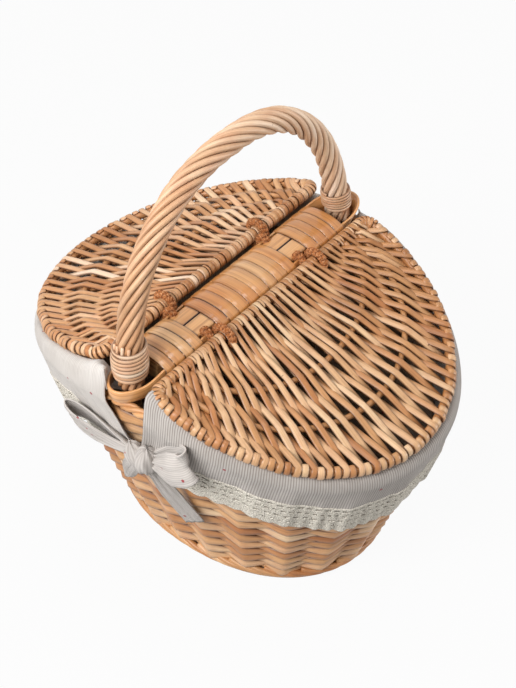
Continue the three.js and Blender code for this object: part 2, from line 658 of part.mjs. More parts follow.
// Cuff: the liner's top, turned over the rim and hanging outside, with a scalloped lace edge sewn below it.
function makeCuff(name, side) {
  const stations = 32;
  const drops = [0, 0.5, 1];
  const sections = [];
  for (let i = 0; i <= stations; i++) {
    const share = i / stations;
    const angle = cuffAngle(share, 0, side);
    const top = wallTop(angle);
    const rimPoint = (out, up) => {
      const p = wallPoint(angle, top + SEAT + RIM_ROD / 2, -WALL_THICKNESS / 2 + out);
      return p.setZ(p.z + up);
    };
    const turnedOver = (room, inset) => [
      linerPoint(angle, top - LINER_TOP_DROP + SEAT, inset),
      rimPoint(-room, 0),
      rimPoint(-0.7 * room, room),
      rimPoint(0.7 * room, room),
      rimPoint(room, 0),
    ];
    const outer = turnedOver(RIM_ROD / 2 + SEAT + CLOTH, CLOTH);
    const inner = turnedOver(RIM_ROD / 2 + SEAT, 0);
    for (const drop of drops) {
      const at = cuffAngle(share, drop, side);
      const height = top - CUFF_DEPTH * drop;
      const offset = cuffOffset(share, drop);
      outer.push(wallPoint(at, height, offset + CLOTH));
      inner.push(wallPoint(at, height, offset));
    }
    sections.push([...outer, ...inner.reverse()]);
  }
  add(basket, `${name}_cuff`, loft(sections), LINEN);

  const laceStations = 3 * LACE_SCALLOPS;
  const laceSections = [];
  for (let i = 0; i <= laceStations; i++) {
    const share = i / laceStations;
    const at = cuffAngle(share, 1, side);
    const hem = wallTop(cuffAngle(share, 0, side)) - CUFF_DEPTH - SEAT;
    const scallop = LACE_SCALLOP * Math.abs(Math.sin(Math.PI * LACE_SCALLOPS * share));
    const offset = cuffOffset(share, 1);
    const bottom = hem - LACE_DEPTH + LACE_SCALLOP - scallop;
    laceSections.push([
      wallPoint(at, hem, offset + CLOTH),
      wallPoint(at, bottom, offset + CLOTH),
      wallPoint(at, bottom, offset),
      wallPoint(at, hem, offset),
    ]);
  }
  add(basket, `${name}_lace`, loft(laceSections), LACE);
}

// Teardrop loop of strap seen from above, pointing along the wall, drawn in by an inset.
function loopOutline(path, length, inset) {
  const half = LOOP_HALF_THICKNESS - inset;
  const tip = length - inset;
  path.moveTo(inset, 0);
  path.bezierCurveTo(0.35 * length, -half, 0.6 * length, -LOOP_BULGE * half, tip - half, -half);
  path.absarc(tip - half, 0, half, -Math.PI / 2, Math.PI / 2);
  path.bezierCurveTo(0.6 * length, LOOP_BULGE * half, 0.35 * length, half, inset, 0);
  return path;
}

// Bow: a knot below a handle foot with two loops along the wall and two tails hanging down.
function makeBow(name, turn) {
  const bow = new THREE.Group();
  bow.rotation.z = turn;
  basket.add(bow);
  const standoff = CUFF_STANDOFF + CUFF_FOLD + CLOTH + 2 * SEAT;
  const facing = Math.PI;
  const wallRadius = (BASE_HALF_LENGTH + LENGTH_FLARE * BOW_HEIGHT) ** 2 / wallPoint(0, BOW_HEIGHT).x;
  const place = (along, height, offset) => {
    const reach = BASE_HALF_LENGTH + LENGTH_FLARE * height;
    return wallPoint(facing - Math.asin(along / reach), height, standoff + offset);
  };

  const lean = Math.atan(WIDTH_FLARE);
  const knotDepth = Math.hypot(KNOT_HALF.x * Math.cos(lean), KNOT_HALF.z * Math.sin(lean)) / Math.cos(lean);
  const knotAt = place(-BOW_SHIFT, BOW_HEIGHT, knotDepth - CUFF_FOLD);
  const knot = new THREE.SphereGeometry(1, 12, 8).scale(KNOT_HALF.x, KNOT_HALF.y, KNOT_HALF.z);
  add(bow, `${name}_bow_knot`, knot.translate(knotAt.x, knotAt.y, knotAt.z), LINEN);

  const loops = [
    { loop: "rear", length: REAR_LOOP_LENGTH, sense: 1, lift: 0 },
    { loop: "front", length: FRONT_LOOP_LENGTH, sense: -1, lift: FRONT_LOOP_LIFT },
  ];
  for (const { loop, length, sense, lift } of loops) {
    const shape = loopOutline(new THREE.Shape(), length, 0);
    shape.holes.push(loopOutline(new THREE.Path(), length, STRAP_THICKNESS));
    const strap = extrude(shape, STRAP_WIDTH, 6).translate(0, 0, -STRAP_WIDTH / 2);
    const mesh = add(bow, `${name}_bow_${loop}_loop`, strap, LINEN);
    const start = knotAt.clone();
    start.y += sense * (KNOT_HALF.y + SEAT + 0.18 * lift * STRAP_WIDTH);
    const wallBulge = length ** 2 / 8 / wallRadius;
    const room = LOOP_BULGE * LOOP_HALF_THICKNESS + wallBulge + LOOP_ROOM;
    const end = place(sense * (KNOT_HALF.y + length) - BOW_SHIFT, BOW_HEIGHT + lift * length, room);
    const direction = end.clone().sub(start).normalize();
    const upright = new THREE.Vector3(-WIDTH_FLARE, 0, 1);
    const outwards = upright.cross(direction).normalize().multiplyScalar(sense);
    const up = direction.clone().cross(outwards);
    mesh.applyMatrix4(new THREE.Matrix4().makeBasis(direction, outwards, up).setPosition(start));
  }

  const lead = knotDepth - CUFF_FOLD + WIDTH_FLARE * KNOT_HALF.z - STRAP_THICKNESS - SEAT / 2;
  const tails = [
    { tail: "long", layer: 0, ...LONG_TAIL },
    { tail: "short", layer: STRAP_THICKNESS + SEAT, ...SHORT_TAIL },
  ];
  for (const { tail, layer, along, down, stand } of tails) {
    const steps = 5;
    const lay = Math.atan2(along, down);
    const sections = [];
    for (let i = 0; i <= steps; i++) {
      const share = i / steps;
      const tilt = lay * Math.min(1, 2 * share);
      const across = new THREE.Vector2(Math.cos(tilt), -Math.sin(tilt)).multiplyScalar(STRAP_WIDTH / 2);
      const y = -BOW_SHIFT - along * share;
      const z = BOW_HEIGHT - KNOT_HALF.z - SEAT - down * share;
      const out = layer + lead * (1 - share) ** 2 + stand * share;
      const edge = (sense, offset) => place(y + sense * across.x, z + sense * across.y, out + offset);
      sections.push([
        edge(-1, STRAP_THICKNESS),
        edge(1, STRAP_THICKNESS),
        edge(1, 0),
        edge(-1, 0),
      ]);
    }
    add(bow, `${name}_bow_${tail}_tail`, loft(sections), LINEN);
  }
}

makeBase();
makeWall();
makeBridge();
makeHandle();
makeLid("rear", 0);
makeLid("front", Math.PI);
for (const [lidName, side] of [["front", -1], ["rear", 1]]) {
  makeHingeCord(`${lidName}_left_hinge_cord`, -CORD_X, side);
  makeHingeCord(`${lidName}_right_hinge_cord`, CORD_X, side);
}
makeLinerBag();
makeCuff("front", -1);
makeCuff("rear", 1);
makeBow("left", 0);
makeBow("right", Math.PI);

export default basket;
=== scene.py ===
"""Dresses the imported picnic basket: woven willow, splint bridge, roped handle, coir ties, linen and lace."""
import math

import bpy
import numpy as np
from mathutils import Matrix, Vector


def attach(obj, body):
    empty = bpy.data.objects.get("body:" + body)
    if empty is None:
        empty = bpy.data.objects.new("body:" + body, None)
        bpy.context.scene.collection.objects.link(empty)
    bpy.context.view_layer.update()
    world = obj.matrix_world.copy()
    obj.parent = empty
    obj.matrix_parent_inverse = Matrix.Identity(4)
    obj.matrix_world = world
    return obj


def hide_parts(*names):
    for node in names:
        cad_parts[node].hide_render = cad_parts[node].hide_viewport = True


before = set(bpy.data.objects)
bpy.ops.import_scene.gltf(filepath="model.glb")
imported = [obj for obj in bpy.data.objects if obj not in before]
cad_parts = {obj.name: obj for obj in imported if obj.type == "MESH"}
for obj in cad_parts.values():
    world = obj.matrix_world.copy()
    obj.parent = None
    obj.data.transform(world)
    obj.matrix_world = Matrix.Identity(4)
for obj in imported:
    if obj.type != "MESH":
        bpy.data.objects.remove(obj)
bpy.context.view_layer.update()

rng = np.random.default_rng(11)
TAU = 2 * math.pi
WHITE = (1, 1, 1)
CAP_BULGE = 0.35  # of the radius, at the end of a tube

# Sizes in millimetres, as in the part's source
HINGE_Z, HINGE_Y, SLOPE = 242.0, 30.9, math.radians(20.5)
OVAL_POWER, BASE_W, BASE_L, FLARE_W, FLARE_L = 2.15, 89.0, 122.0, 0.245, 0.385
WALL, RIM_ROD, FOOT_ROD, SEAT, CLOTH, LEG_ROOM = 8.0, 9.0, 7.0, 0.4, 1.6, 13.2
BRIDGE_W, BAND_END, BAND_REACH, BAND_H, BAND_T = 20.0, 110.0, 36.0, 16.0, 2.2
BAND_Z = HINGE_Z - BAND_H
WRAP_END, CENTRE_WRAP, WRAP_START = 108, 46, 66
LID_W, LID_FAR, LID_CORNER, LID_ROD, LID_SHIFT = 129.0, 163.0, 8.0, 11.0, 4.0
LID_HALF, LID_DEEP = LID_W + LID_ROD / 2, LID_FAR + LID_ROD
RIBS = ((0.714 * LID_HALF, 0.39 * LID_DEEP), (0.833 * LID_HALF, 0.667 * LID_DEEP))
CORD_X, CORD_ROOM = 56.0, 0.7
SPAN, RISE, ARCH_POWER, ROD_FOOT, HANDLE_RODS, HANDLE_TURNS = 125.0, 140.0, 2.2, 12.0, 9, 3.6
STAKES = 22
CUFF_DEPTH, LACE_DEPTH = 25.0, 36.0
SHEET = 0.9  # thickness of the liner's cloth
BOW_Z, BOW_SHIFT = HINGE_Z - 62, 18.0


# Camera, fitted to the photograph

def make_camera():
    sensor, focal_px, picture_px = 36, 1674.403, 688
    turn = Vector((2.1350564544, -1.0102060713, 0.3718070716))
    right, down, ahead = Matrix.Rotation(turn.length, 3, turn.normalized())
    place = Matrix((right, -down, -ahead)).transposed().to_4x4()
    place.translation = Vector((-0.7204392, -0.6917781, 0.8833630 + HINGE_Z / 1000))
    data = bpy.data.cameras.new("camera")
    data.lens = focal_px * sensor / picture_px
    data.sensor_width = sensor
    data.clip_end = 50
    camera = bpy.data.objects.new("camera", data)
    camera.matrix_world = place
    bpy.context.collection.objects.link(camera)
    bpy.context.scene.camera = camera


# Building blocks

def bend(v, power):
    return np.sign(v) * np.abs(v) ** power


def ease(f):
    return f * f * (3 - 2 * f)


def ramp(v, low, high):
    """0 up to a low value, 1 from a high one."""
    return np.clip((v - low) / (high - low), 0, 1)


def unit(vectors, tiny=0.0):
    return vectors / (np.linalg.norm(vectors, axis=-1)[..., None] + tiny)


def turn_x(angle):
    c, s = math.cos(angle), math.sin(angle)
    return np.array([[1, 0, 0], [0, c, -s], [0, s, c]])


def run_along(points, axis=0):
    """Distance along a line of points, or its mean along one axis of a grid of points."""
    step = np.linalg.norm(np.diff(points, axis=axis), axis=-1)
    if step.ndim == 2:
        step = step.mean(1 - axis)
    return np.concatenate([[0], np.cumsum(step)])


def resample(line, count):
    """The same line with evenly spaced points."""
    run = run_along(line)
    t = np.linspace(0, run[-1], count)
    return np.stack([np.interp(t, run, values) for values in line.T], 1)


def uv_grid(across, down):
    """UV in metres for a grid, from millimetres across and down it."""
    return np.stack(np.broadcast_arrays(across[None], down[:, None]), -1) / 1000


def painted_seam_shade(sides, power, depth=1.0, wave=np.sin):
    """Painted shade round a tube's section, darkest along its two edges, in the seams."""
    return np.abs(wave(np.arange(sides) / sides * TAU)) ** power * depth


def strand_tone(low=0.0, high=1.0):
    """Tone of one strand, most often near the middle of its range; the second value is for painted shade along
    its edges.
    """
    return np.array([low + (high - low) * (rng.uniform() + rng.uniform()) / 2, 0.0, rng.uniform()])


def full_tone(shape, tone):
    tones = np.empty((*shape, 3))
    tones[:] = tone
    return tones


def oval(angle, half_w, half_l, offset=0.0):
    """Points of the basket's oval, moved outwards by an offset."""
    x = half_w * bend(np.cos(angle), 2 / OVAL_POWER)
    y = half_l * bend(np.sin(angle), 2 / OVAL_POWER)
    nx = bend(x / half_w, OVAL_POWER - 1) / half_w
    ny = bend(y / half_l, OVAL_POWER - 1) / half_l
    size = np.hypot(nx, ny)
    return x + nx / size * offset, y + ny / size * offset


def wall(angle, z, offset=0.0, less_w=0.0, less_l=0.0):
    """Points of the wall's outside at an angle and a height, moved outwards by an offset."""
    angle, z, offset = np.broadcast_arrays(np.asarray(angle, float), z, offset)
    x, y = oval(angle, BASE_W + FLARE_W * z - less_w, BASE_L + FLARE_L * z - less_l, offset)
    return np.stack([x, y, z], -1)


def liner(angle, z, inset=0.0):
    """Points of the bag's outside, inside the handle's legs."""
    return wall(angle, z, -np.asarray(inset), WALL + SEAT + LEG_ROOM, WALL + SEAT)


def lid_under(y):
    """Height of a lid's underside at a distance from the middle of the basket."""
    return HINGE_Z - math.tan(SLOPE) * (np.abs(y) - HINGE_Y) - LID_ROD / 2 / math.cos(SLOPE)


def rim_top(y):
    """Top of the rim: under the lids and the band, with a soft turn from one to the other."""
    soft = 6
    under_lid = lid_under(y) - CLOTH - 3 * SEAT
    under_band = BAND_Z - SEAT
    apart = np.abs(under_lid - under_band)
    return np.minimum(under_lid, under_band) - soft * np.log(1 + np.exp(-apart / soft))


def wall_top(angle):
    z = np.full_like(np.asarray(angle, float), HINGE_Z)
    for _ in range(12):
        z = rim_top(wall(angle, z)[..., 1]) - RIM_ROD - SEAT
    return z


def even_angles(count, z):
    """Angles that share the wall's oval at a height into equal lengths."""
    fine = np.linspace(0, TAU, 2881)
    run = run_along(wall(fine, z))
    return np.interp(np.arange(count) / count * run[-1], run, fine)


def catmull(points, count):
    """Smooth line through points."""
    p = np.asarray(points, float)
    p = np.concatenate([2 * p[:1] - p[1:2], p, 2 * p[-1:] - p[-2:-1]])
    spans = len(p) - 3
    t = np.linspace(0, spans, count)
    i = np.minimum(t.astype(int), spans - 1)
    f = (t - i)[:, None]
    a, b, c, d = p[i], p[i + 1], p[i + 2], p[i + 3]
    return 0.5 * (2 * b + (c - a) * f + (2 * a - 5 * b + 4 * c - d) * f**2 + (3 * b - a - 3 * c + d) * f**3)


def frames(path, up, closed=False):
    """Tangents and two normals along a path; up is a direction to carry along, or one for each point."""
    t = unit(np.roll(path, -1, 0) - np.roll(path, 1, 0) if closed else np.gradient(path, axis=0))
    up = np.asarray(up, float)
    if up.ndim == 2:
        n = unit(up - t * (up * t).sum(1)[:, None])
        return t, n, np.cross(t, n)
    n = np.empty_like(t)
    for i in range(len(t)):
        up = up - t[i] * (up @ t[i])
        up = up / np.linalg.norm(up)
        n[i] = up
    return t, n, np.cross(t, n)


class Bundle:
    """A mesh under construction, with a UV map in metres and a random tone for each strand."""

    def __init__(self):
        self.verts, self.tones, self.count = [], [], 0
        self.quads, self.quad_uv, self.tris, self.tri_uv = [], [], [], []

    def put(self, verts, tone):
        base = self.count
        self.verts.append(verts)
        self.tones.append(full_tone((len(verts),), tone))
        self.count += len(verts)
        return base

    def grid(self, points, tone=(0.5, 0.5, 0.5), wrap=False, uv=None, keep=None):
        """Rows of points joined into quads; wrap closes each row on itself."""
        rows, cols = points.shape[:2]
        if np.ndim(tone) == 3:
            tone = np.asarray(tone).reshape(-1, 3)
        base = self.put(points.reshape(-1, 3), tone)
        i, j = np.meshgrid(np.arange(rows - 1), np.arange(cols if wrap else cols - 1), indexing="ij")
        k = (j + 1) % cols
        quad = np.stack([i * cols + j, i * cols + k, (i + 1) * cols + k, (i + 1) * cols + j], -1)
        if uv is None:
            first = np.concatenate([points, points[:, :1]], 1) if wrap else points
            uv = uv_grid(run_along(first, 1), run_along(points))
        corners = np.stack([uv[i, j], uv[i, j + 1], uv[i + 1, j + 1], uv[i + 1, j]], 2)
        if keep is not None:
            quad, corners = quad[keep], corners[keep]
        self.quads.append(quad.reshape(-1, 4) + base)
        self.quad_uv.append(corners.reshape(-1, 4, 2))
        return base

    def tube(self, path, radius, sides=8, tone=(0.5, 0, 0.5), closed=False, wide=1.0, up=(0, 0, 1), caps=True,
             square=1.0, painted_shade=None):
        """Tube along a path. Wide stretches its section square to up, a square below 1 makes the section
        boxier, and its shade argument darkens points of the section: painted shade along seams and recesses."""
        path = np.asarray(path, float)
        t, n, b = frames(path, up, closed)
        r, w = (np.broadcast_to(np.asarray(v, float), len(path))[:, None, None] for v in (radius, wide))
        a = (np.arange(sides) / sides * TAU)[None, :, None]
        section = bend(np.cos(a), square) * n[:, None] + w * bend(np.sin(a), square) * b[:, None]
        points = path[:, None] + r * section
        tone = np.asarray(tone, float)
        if closed:
            points = np.concatenate([points, points[:1]])
            tone = np.concatenate([tone, tone[:1]]) if tone.ndim == 2 else tone
        tones = full_tone((len(points), sides), tone if tone.ndim == 1 else tone[:, None])
        # Painted shade: the second tone value darkens seams and places in shadow
        if painted_shade is not None:
            tones[..., 1] = painted_shade
        base = self.grid(points, tones, wrap=True)
        if caps and not closed:
            for row, sense in ((0, -1), (len(points) - 1, 1)):
                loop = base + row * sides + np.arange(sides)
                bulge = path[row] + t[row] * sense * float(r[row, 0, 0]) * CAP_BULGE
                tip = self.put(bulge[None], tones[row, 0])
                tri = np.stack([loop, np.roll(loop, -1), np.full(sides, tip)], 1)
                self.tris.append(tri if sense > 0 else tri[:, ::-1])
                self.tri_uv.append(np.zeros((sides, 3, 2)))

    def sheet(self, points, thickness, uv=None):
        """Closed sheet round a grid of points."""
        normal = unit(np.cross(np.gradient(points, axis=1), np.gradient(points, axis=0)), 1e-12)
        top, low = points + normal * thickness / 2, points - normal * thickness / 2
        around = np.concatenate([top, low[:, ::-1]], 1)
        if uv is not None:
            uv = np.concatenate([uv, uv[:, ::-1], uv[:, :1]], 1)
        rows, cols = points.shape[:2]
        base = self.grid(around, wrap=True, uv=uv)
        j = np.arange(cols - 1)
        for row in (0, rows - 1):
            quad = base + row * 2 * cols + np.stack([j, j + 1, 2 * cols - 2 - j, 2 * cols - 1 - j], 1)
            self.quads.append(quad if row else quad[:, ::-1])
            self.quad_uv.append(np.zeros((cols - 1, 4, 2)))

    def build(self, name, material, nodes=(), body="basket"):
        """The finished piece, which rides on a body and replaces CAD nodes."""
        verts = np.concatenate(self.verts) / 1000
        quads = np.concatenate(self.quads)
        tris = np.concatenate(self.tris) if self.tris else np.zeros((0, 3), int)
        mesh = bpy.data.meshes.new(name)
        mesh.vertices.add(len(verts))
        mesh.vertices.foreach_set("co", verts.ravel())
        corners = np.concatenate([quads.ravel(), tris.ravel()]).astype(np.int32)
        mesh.loops.add(len(corners))
        mesh.loops.foreach_set("vertex_index", corners)
        starts = np.concatenate([np.arange(len(quads)) * 4, len(quads) * 4 + np.arange(len(tris)) * 3])
        mesh.polygons.add(len(starts))
        mesh.polygons.foreach_set("loop_start", starts.astype(np.int32))
        uv = [np.concatenate(part).reshape(-1, 2) for part in (self.quad_uv, self.tri_uv) if part]
        mesh.update(calc_edges=True)
        mesh.uv_layers.new(name="UVMap").data.foreach_set("uv", np.concatenate(uv).ravel())
        tone = np.concatenate([np.concatenate(self.tones), np.ones((len(verts), 1))], 1)
        mesh.color_attributes.new("tone", "FLOAT_COLOR", "POINT").data.foreach_set("color", tone.ravel())
        mesh.polygons.foreach_set("use_smooth", np.ones(len(starts), bool))
        mesh.validate(clean_customdata=False)
        mesh.materials.append(material)
        piece = bpy.data.objects.new(name, mesh)
        bpy.context.collection.objects.link(piece)
        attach(piece, body)
        if nodes:
            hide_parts(*nodes)
        return piece


# Materials

class Nodes:
    """A node tree with short helpers."""

    def __init__(self, tree):
        self.tree = tree

    def feed(self, value, socket):
        """Link a socket to an input, or set the input's value."""
        if isinstance(value, bpy.types.NodeSocket):
            self.tree.links.new(value, socket)
        else:
            socket.default_value = (*value, 1) if socket.type == "RGBA" else value

    def node(self, kind, inputs=(), **values):
        node = self.tree.nodes.new(kind)
        for key, value in values.items():
            setattr(node, key, value)
        for key, value in dict(inputs).items():
            self.feed(value, node.inputs[key])
        return node

    def math(self, operation, a, b=0.0):
        return self.node("ShaderNodeMath", {0: a, 1: b}, operation=operation).outputs[0]


class Shader(Nodes):
    """A material; distances in it are in metres, and noise is in cycles for each metre."""

    def __init__(self, name):
        self.material = bpy.data.materials.new(name)
        self.material.use_nodes = True
        super().__init__(self.material.node_tree)
        self.bsdf = self.tree.nodes["Principled BSDF"]

    def tone(self):
        attribute = self.node("ShaderNodeAttribute", attribute_name="tone")
        return self.node("ShaderNodeSeparateColor", {"Color": attribute.outputs["Color"]}).outputs

    def uv(self):
        return self.node("ShaderNodeUVMap", uv_map="UVMap").outputs["UV"]

    def place(self):
        return self.node("ShaderNodeTexCoord").outputs["Object"]

    def noise(self, vector, cycles, detail, roughness=0.55):
        mapping = self.node("ShaderNodeMapping", {"Vector": vector, "Scale": cycles})
        inputs = {"Vector": mapping.outputs["Vector"], "Scale": 1.0, "Detail": detail, "Roughness": roughness}
        return self.node("ShaderNodeTexNoise", inputs).outputs["Fac"]

    def grain(self, across, along, detail, roughness=0.55):
        """Noise over the UV map."""
        return self.noise(self.uv(), (across, along, 1), detail, roughness)

    def cloud(self, cycles, detail):
        """Noise in the piece's own space."""
        return self.noise(self.place(), (cycles, cycles, cycles), detail)

    def ramp(self, fac, *stops):
        ramp = self.node("ShaderNodeValToRGB", {"Fac": fac})
        elements = ramp.color_ramp.elements
        while len(elements) < len(stops):
            elements.new(0.5)
        for element, (position, color) in zip(elements, stops):
            element.position = position
            element.color = (*color, 1)
        return ramp.outputs["Color"]

    def mix(self, mode, fac, a, b):
        return self.node("ShaderNodeMix", {0: fac, 6: a, 7: b}, data_type="RGBA", blend_type=mode).outputs[2]

    def darken(self, base, share, fac, low, color, high):
        """Multiply by a colour where a factor is low."""
        return self.mix("MULTIPLY", share, base, self.ramp(fac, (low, color), (high, WHITE)))

    def spread(self, fac, low, high):
        inputs = {"Value": fac, "To Min": low, "To Max": high}
        return self.node("ShaderNodeMapRange", inputs).outputs["Result"]

    def finish(self, color, height, distance, strength, rough, specular=0.5, **levels):
        """The finished material, from its colour, bump and surface."""
        bump = self.node("ShaderNodeBump", {"Strength": strength, "Distance": distance, "Height": height})
        surface = {"Base Color": color, "Normal": bump.outputs["Normal"], "Roughness": rough}
        surface["Specular IOR Level"] = specular
        for key, value in levels.items():
            surface[key.replace("_", " ").title()] = value
        for key, value in surface.items():
            self.feed(value, self.bsdf.inputs[key])
        return self.material


def srgb(text):
    channels = [int(text[i:i + 2], 16) / 255 for i in (0, 2, 4)]
    return tuple(c / 12.92 if c <= 0.04045 else ((c + 0.055) / 1.055) ** 2.4 for c in channels)


def willow(name, dark, low, middle, high, pale, gloss):
    """Peeled willow: tone by strand, long grain, darker knots and specks, painted shade along seams, satin
    sheen.
    """
    s = Shader(name)
    tone = s.tone()
    base = s.ramp(tone[0], (0.0, srgb(low)), (0.5, srgb(middle)), (0.85, srgb(high)), (1.0, srgb(pale)))
    grain = s.grain(900, 26, 4)
    base = s.darken(base, 0.65, grain, 0.28, (0.6, 0.52, 0.44), 0.6)
    patch = s.ramp(s.cloud(85, 3), (0.3, (0.35, 0.33, 0.3)), (0.7, (0.62, 0.62, 0.6)))
    base = s.mix("OVERLAY", 0.42, base, patch)
    knots = s.ramp(s.cloud(170, 2), (0.73, (0, 0, 0)), (0.8, (0.8, 0.8, 0.8)))
    base = s.mix("MIX", knots, base, srgb(dark))
    base = s.mix("MULTIPLY", s.math("MULTIPLY", tone[2], 0.5), base, srgb("f0cdb0"))
    # Painted shade: the tone's second value darkens seams towards dark brown
    color = s.mix("MULTIPLY", tone[1], base, srgb("4a200c"))
    return s.finish(color, grain, 0.00025, 0.55, s.spread(grain, gloss - 0.08, gloss + 0.14), 0.45)


def bamboo(name, low, middle, high):
    """Varnished bamboo splint: fine straight fibres, brown streaks, painted shade at the seams, a clear coat.
    """
    s = Shader(name)
    tone = s.tone()
    base = s.ramp(tone[0], (0.0, srgb(low)), (0.5, srgb(middle)), (1.0, srgb(high)))
    fibre = s.grain(1700, 14, 4)
    base = s.darken(base, 0.5, fibre, 0.3, (0.66, 0.56, 0.46), 0.6)
    base = s.darken(base, 0.6, s.grain(260, 5, 2), 0.34, (0.5, 0.36, 0.24), 0.5)
    base = s.darken(base, 0.7, s.cloud(34, 2), 0.36, (0.93, 0.76, 0.56), 0.6)
    # Painted shade: the tone's second value darkens the seams between splints
    color = s.mix("MULTIPLY", tone[1], base, srgb("2e1206"))
    rough = s.spread(fibre, 0.3, 0.5)
    return s.finish(color, fibre, 0.0002, 0.5, rough, coat_weight=0.8, coat_roughness=0.14)


def coir(name):
    """Coarse coir fibre, with painted shade in the gaps between its lumps."""
    s = Shader(name)
    tone = s.tone()
    fibre = s.grain(1100, 700, 5, 0.75)
    base = s.ramp(fibre, (0.32, srgb("7a3d18")), (0.5, srgb("b8703c")), (0.66, srgb("eabd92")))
    base = s.darken(base, 0.4, tone[0], 0, (0.6, 0.55, 0.5), 1)
    # Painted shade: the tone's second value darkens the gaps between lumps
    return s.finish(s.mix("MULTIPLY", tone[1], base, srgb("5a2a12")), fibre, 0.0009, 0.9, 0.85, 0.25)


def linen(name, stripes, dots, dot_size, low, high):
    """Plain linen weave with fine stripes that run down the cloth, and a few red specks."""
    stripe, thread = 0.0021, 0.0007
    s = Shader(name)
    split = s.node("ShaderNodeSeparateXYZ", {"Vector": s.uv()}).outputs
    line, warp, weft = (s.math("SINE", s.math("MULTIPLY", split[axis], TAU / pitch))
                        for axis, pitch in (("X", stripe), ("X", thread), ("Y", thread)))
    slub = s.grain(700, 60, 3)
    base = s.ramp(s.cloud(28, 2), (0.3, srgb(low)), (0.7, srgb(high)))
    pin = s.math("ADD", line, s.math("MULTIPLY", slub, 1.2))
    base = s.darken(base, stripes, pin, 0.1, (0.5, 0.47, 0.45), 0.75)
    base = s.darken(base, 0.35, slub, 0.3, (0.8, 0.78, 0.76), 0.6)
    cells = s.node("ShaderNodeTexVoronoi", {"Vector": s.place(), "Scale": dots})
    spot = s.ramp(cells.outputs["Distance"], (dot_size * 0.8, WHITE), (dot_size, (0, 0, 0)))
    color = s.mix("MIX", spot, base, srgb("9c4448"))
    height = s.math("ADD", s.math("ADD", warp, weft), s.math("MULTIPLY", line, 0.8))
    return s.finish(color, height, 0.00012, 0.6, 0.92, 0.2, sheen_weight=0.15)


def crochet(name):
    s = Shader(name)
    thread = s.grain(900, 1100, 4)
    color = s.ramp(thread, (0.34, srgb("7c7466")), (0.48, srgb("cfc8bb")), (0.62, srgb("f0eade")))
    return s.finish(color, thread, 0.0008, 0.8, 0.95, 0.15)


def plain_willow(name):
    s = Shader(name)
    grain = s.noise(s.place(), (60, 60, 700), 3)
    color = s.ramp(grain, (0.3, srgb("8a6236")), (0.7, srgb("c19a66")))
    return s.finish(color, grain, 0.0003, 0.5, 0.6)


# Lit and shaded copies of one lid willow: the front lid's palette is darker as painted shade, the rear lid's
# paler as painted light
SHADED_FRONT_WILLOW = willow("front_lid_willow_painted_shade", "482610", "a26b3c", "c19163", "dfbf9a", "f8e8d4", gloss=0.36)
LIT_REAR_WILLOW = willow("rear_lid_willow_painted_light", "4a2810", "b27a4a", "d2a478", "eed0b0", "fff2e4", gloss=0.36)
WALL_WILLOW = willow("wall_willow", "5e3418", "a87040", "d4a474", "efd4b4", "fbeedd", gloss=0.38)
HANDLE_WILLOW = willow("handle_willow", "7a5028", "b68a62", "dab694", "f2dcc4", "fcf2e6", gloss=0.42)
CANE = willow("binding_cane", "7a5030", "c89c78", "dcb898", "ead2ba", "f4e6d6", gloss=0.3)
INNER_WILLOW = plain_willow("inner_willow")
SPLINT = bamboo("bridge_splint", "c48042", "dc9e5e", "ecc08c")
BAND = bamboo("band_splint", "c98850", "dca56c", "ecc392")
COIR = coir("coir")
# Lit and shaded copies of one linen: the front cuff's is darker as painted shade, the rear cuff's paler as
# painted light
SHADED_FRONT_LINEN = linen("front_linen_painted_shade", 0.75, 40, 0.064, "b6afa9", "c8c1bb")
LIT_REAR_LINEN = linen("rear_linen_painted_light", 0.3, 40, 0.064, "c9c2bb", "dad4ce")
# The bag's linen is painted much darker, as painted shade for the inside seen through the lids
SHADED_BAG_LINEN = linen("bag_linen_painted_shade", 0.4, 40, 0.064, "86705a", "9c856e")
# The bow's linen is a paler copy, as painted light against the shadow on its tails
LIT_BOW_LINEN = linen("bow_linen_painted_light", 0.35, 75, 0.12, "bdb6b0", "cfc8c2")
LACE = crochet("crochet_lace")


# Lids

def lid_turn(vectors, side):
    u, v, w = np.moveaxis(np.asarray(vectors, float), -1, 0)
    y = v * math.cos(SLOPE) + w * math.sin(SLOPE)
    z = w * math.cos(SLOPE) - v * math.sin(SLOPE)
    return np.stack([side * u, side * y, z], -1)


def lid_place(points, side):
    """Lid coordinates (along the hinge, away from it, off the lid) to the frame; side 1 is the rear lid."""
    return lid_turn(np.asarray(points, float) + (LID_SHIFT, 0, 0), side) + (0, side * HINGE_Y, HINGE_Z)


def lid_edge(count):
    """Points and outward normals of the curved edge, corner to corner, evenly spaced."""
    a = np.linspace(1.5 * math.pi, math.pi, 40)
    left = np.stack([LID_CORNER - LID_W + LID_CORNER * np.cos(a), LID_CORNER + LID_CORNER * np.sin(a)], 1)
    b = np.linspace(math.pi, 0, 400)
    arch = np.stack([LID_W * np.cos(b), LID_CORNER + (LID_FAR - LID_CORNER) * np.sin(b)], 1)
    points = resample(np.concatenate([left, arch[1:-1], left[::-1] * (-1, 1)]), count)
    tangent = unit(np.gradient(points, axis=0))
    return points, np.stack([-tangent[:, 1], tangent[:, 0]], 1)


def cross_rib(start, run, rib):
    """Share of the way along a strand at which it crosses a rib, or None."""
    half_w, depth = rib
    a = (run[0] / half_w) ** 2 + (run[1] / depth) ** 2
    b = 2 * (start[0] * run[0] / half_w**2 + start[1] * run[1] / depth**2)
    c = (start[0] / half_w) ** 2 + (start[1] / depth) ** 2 - 1
    if c >= 0:
        return None
    return (-b + math.sqrt(b * b - 4 * a * c)) / (2 * a)


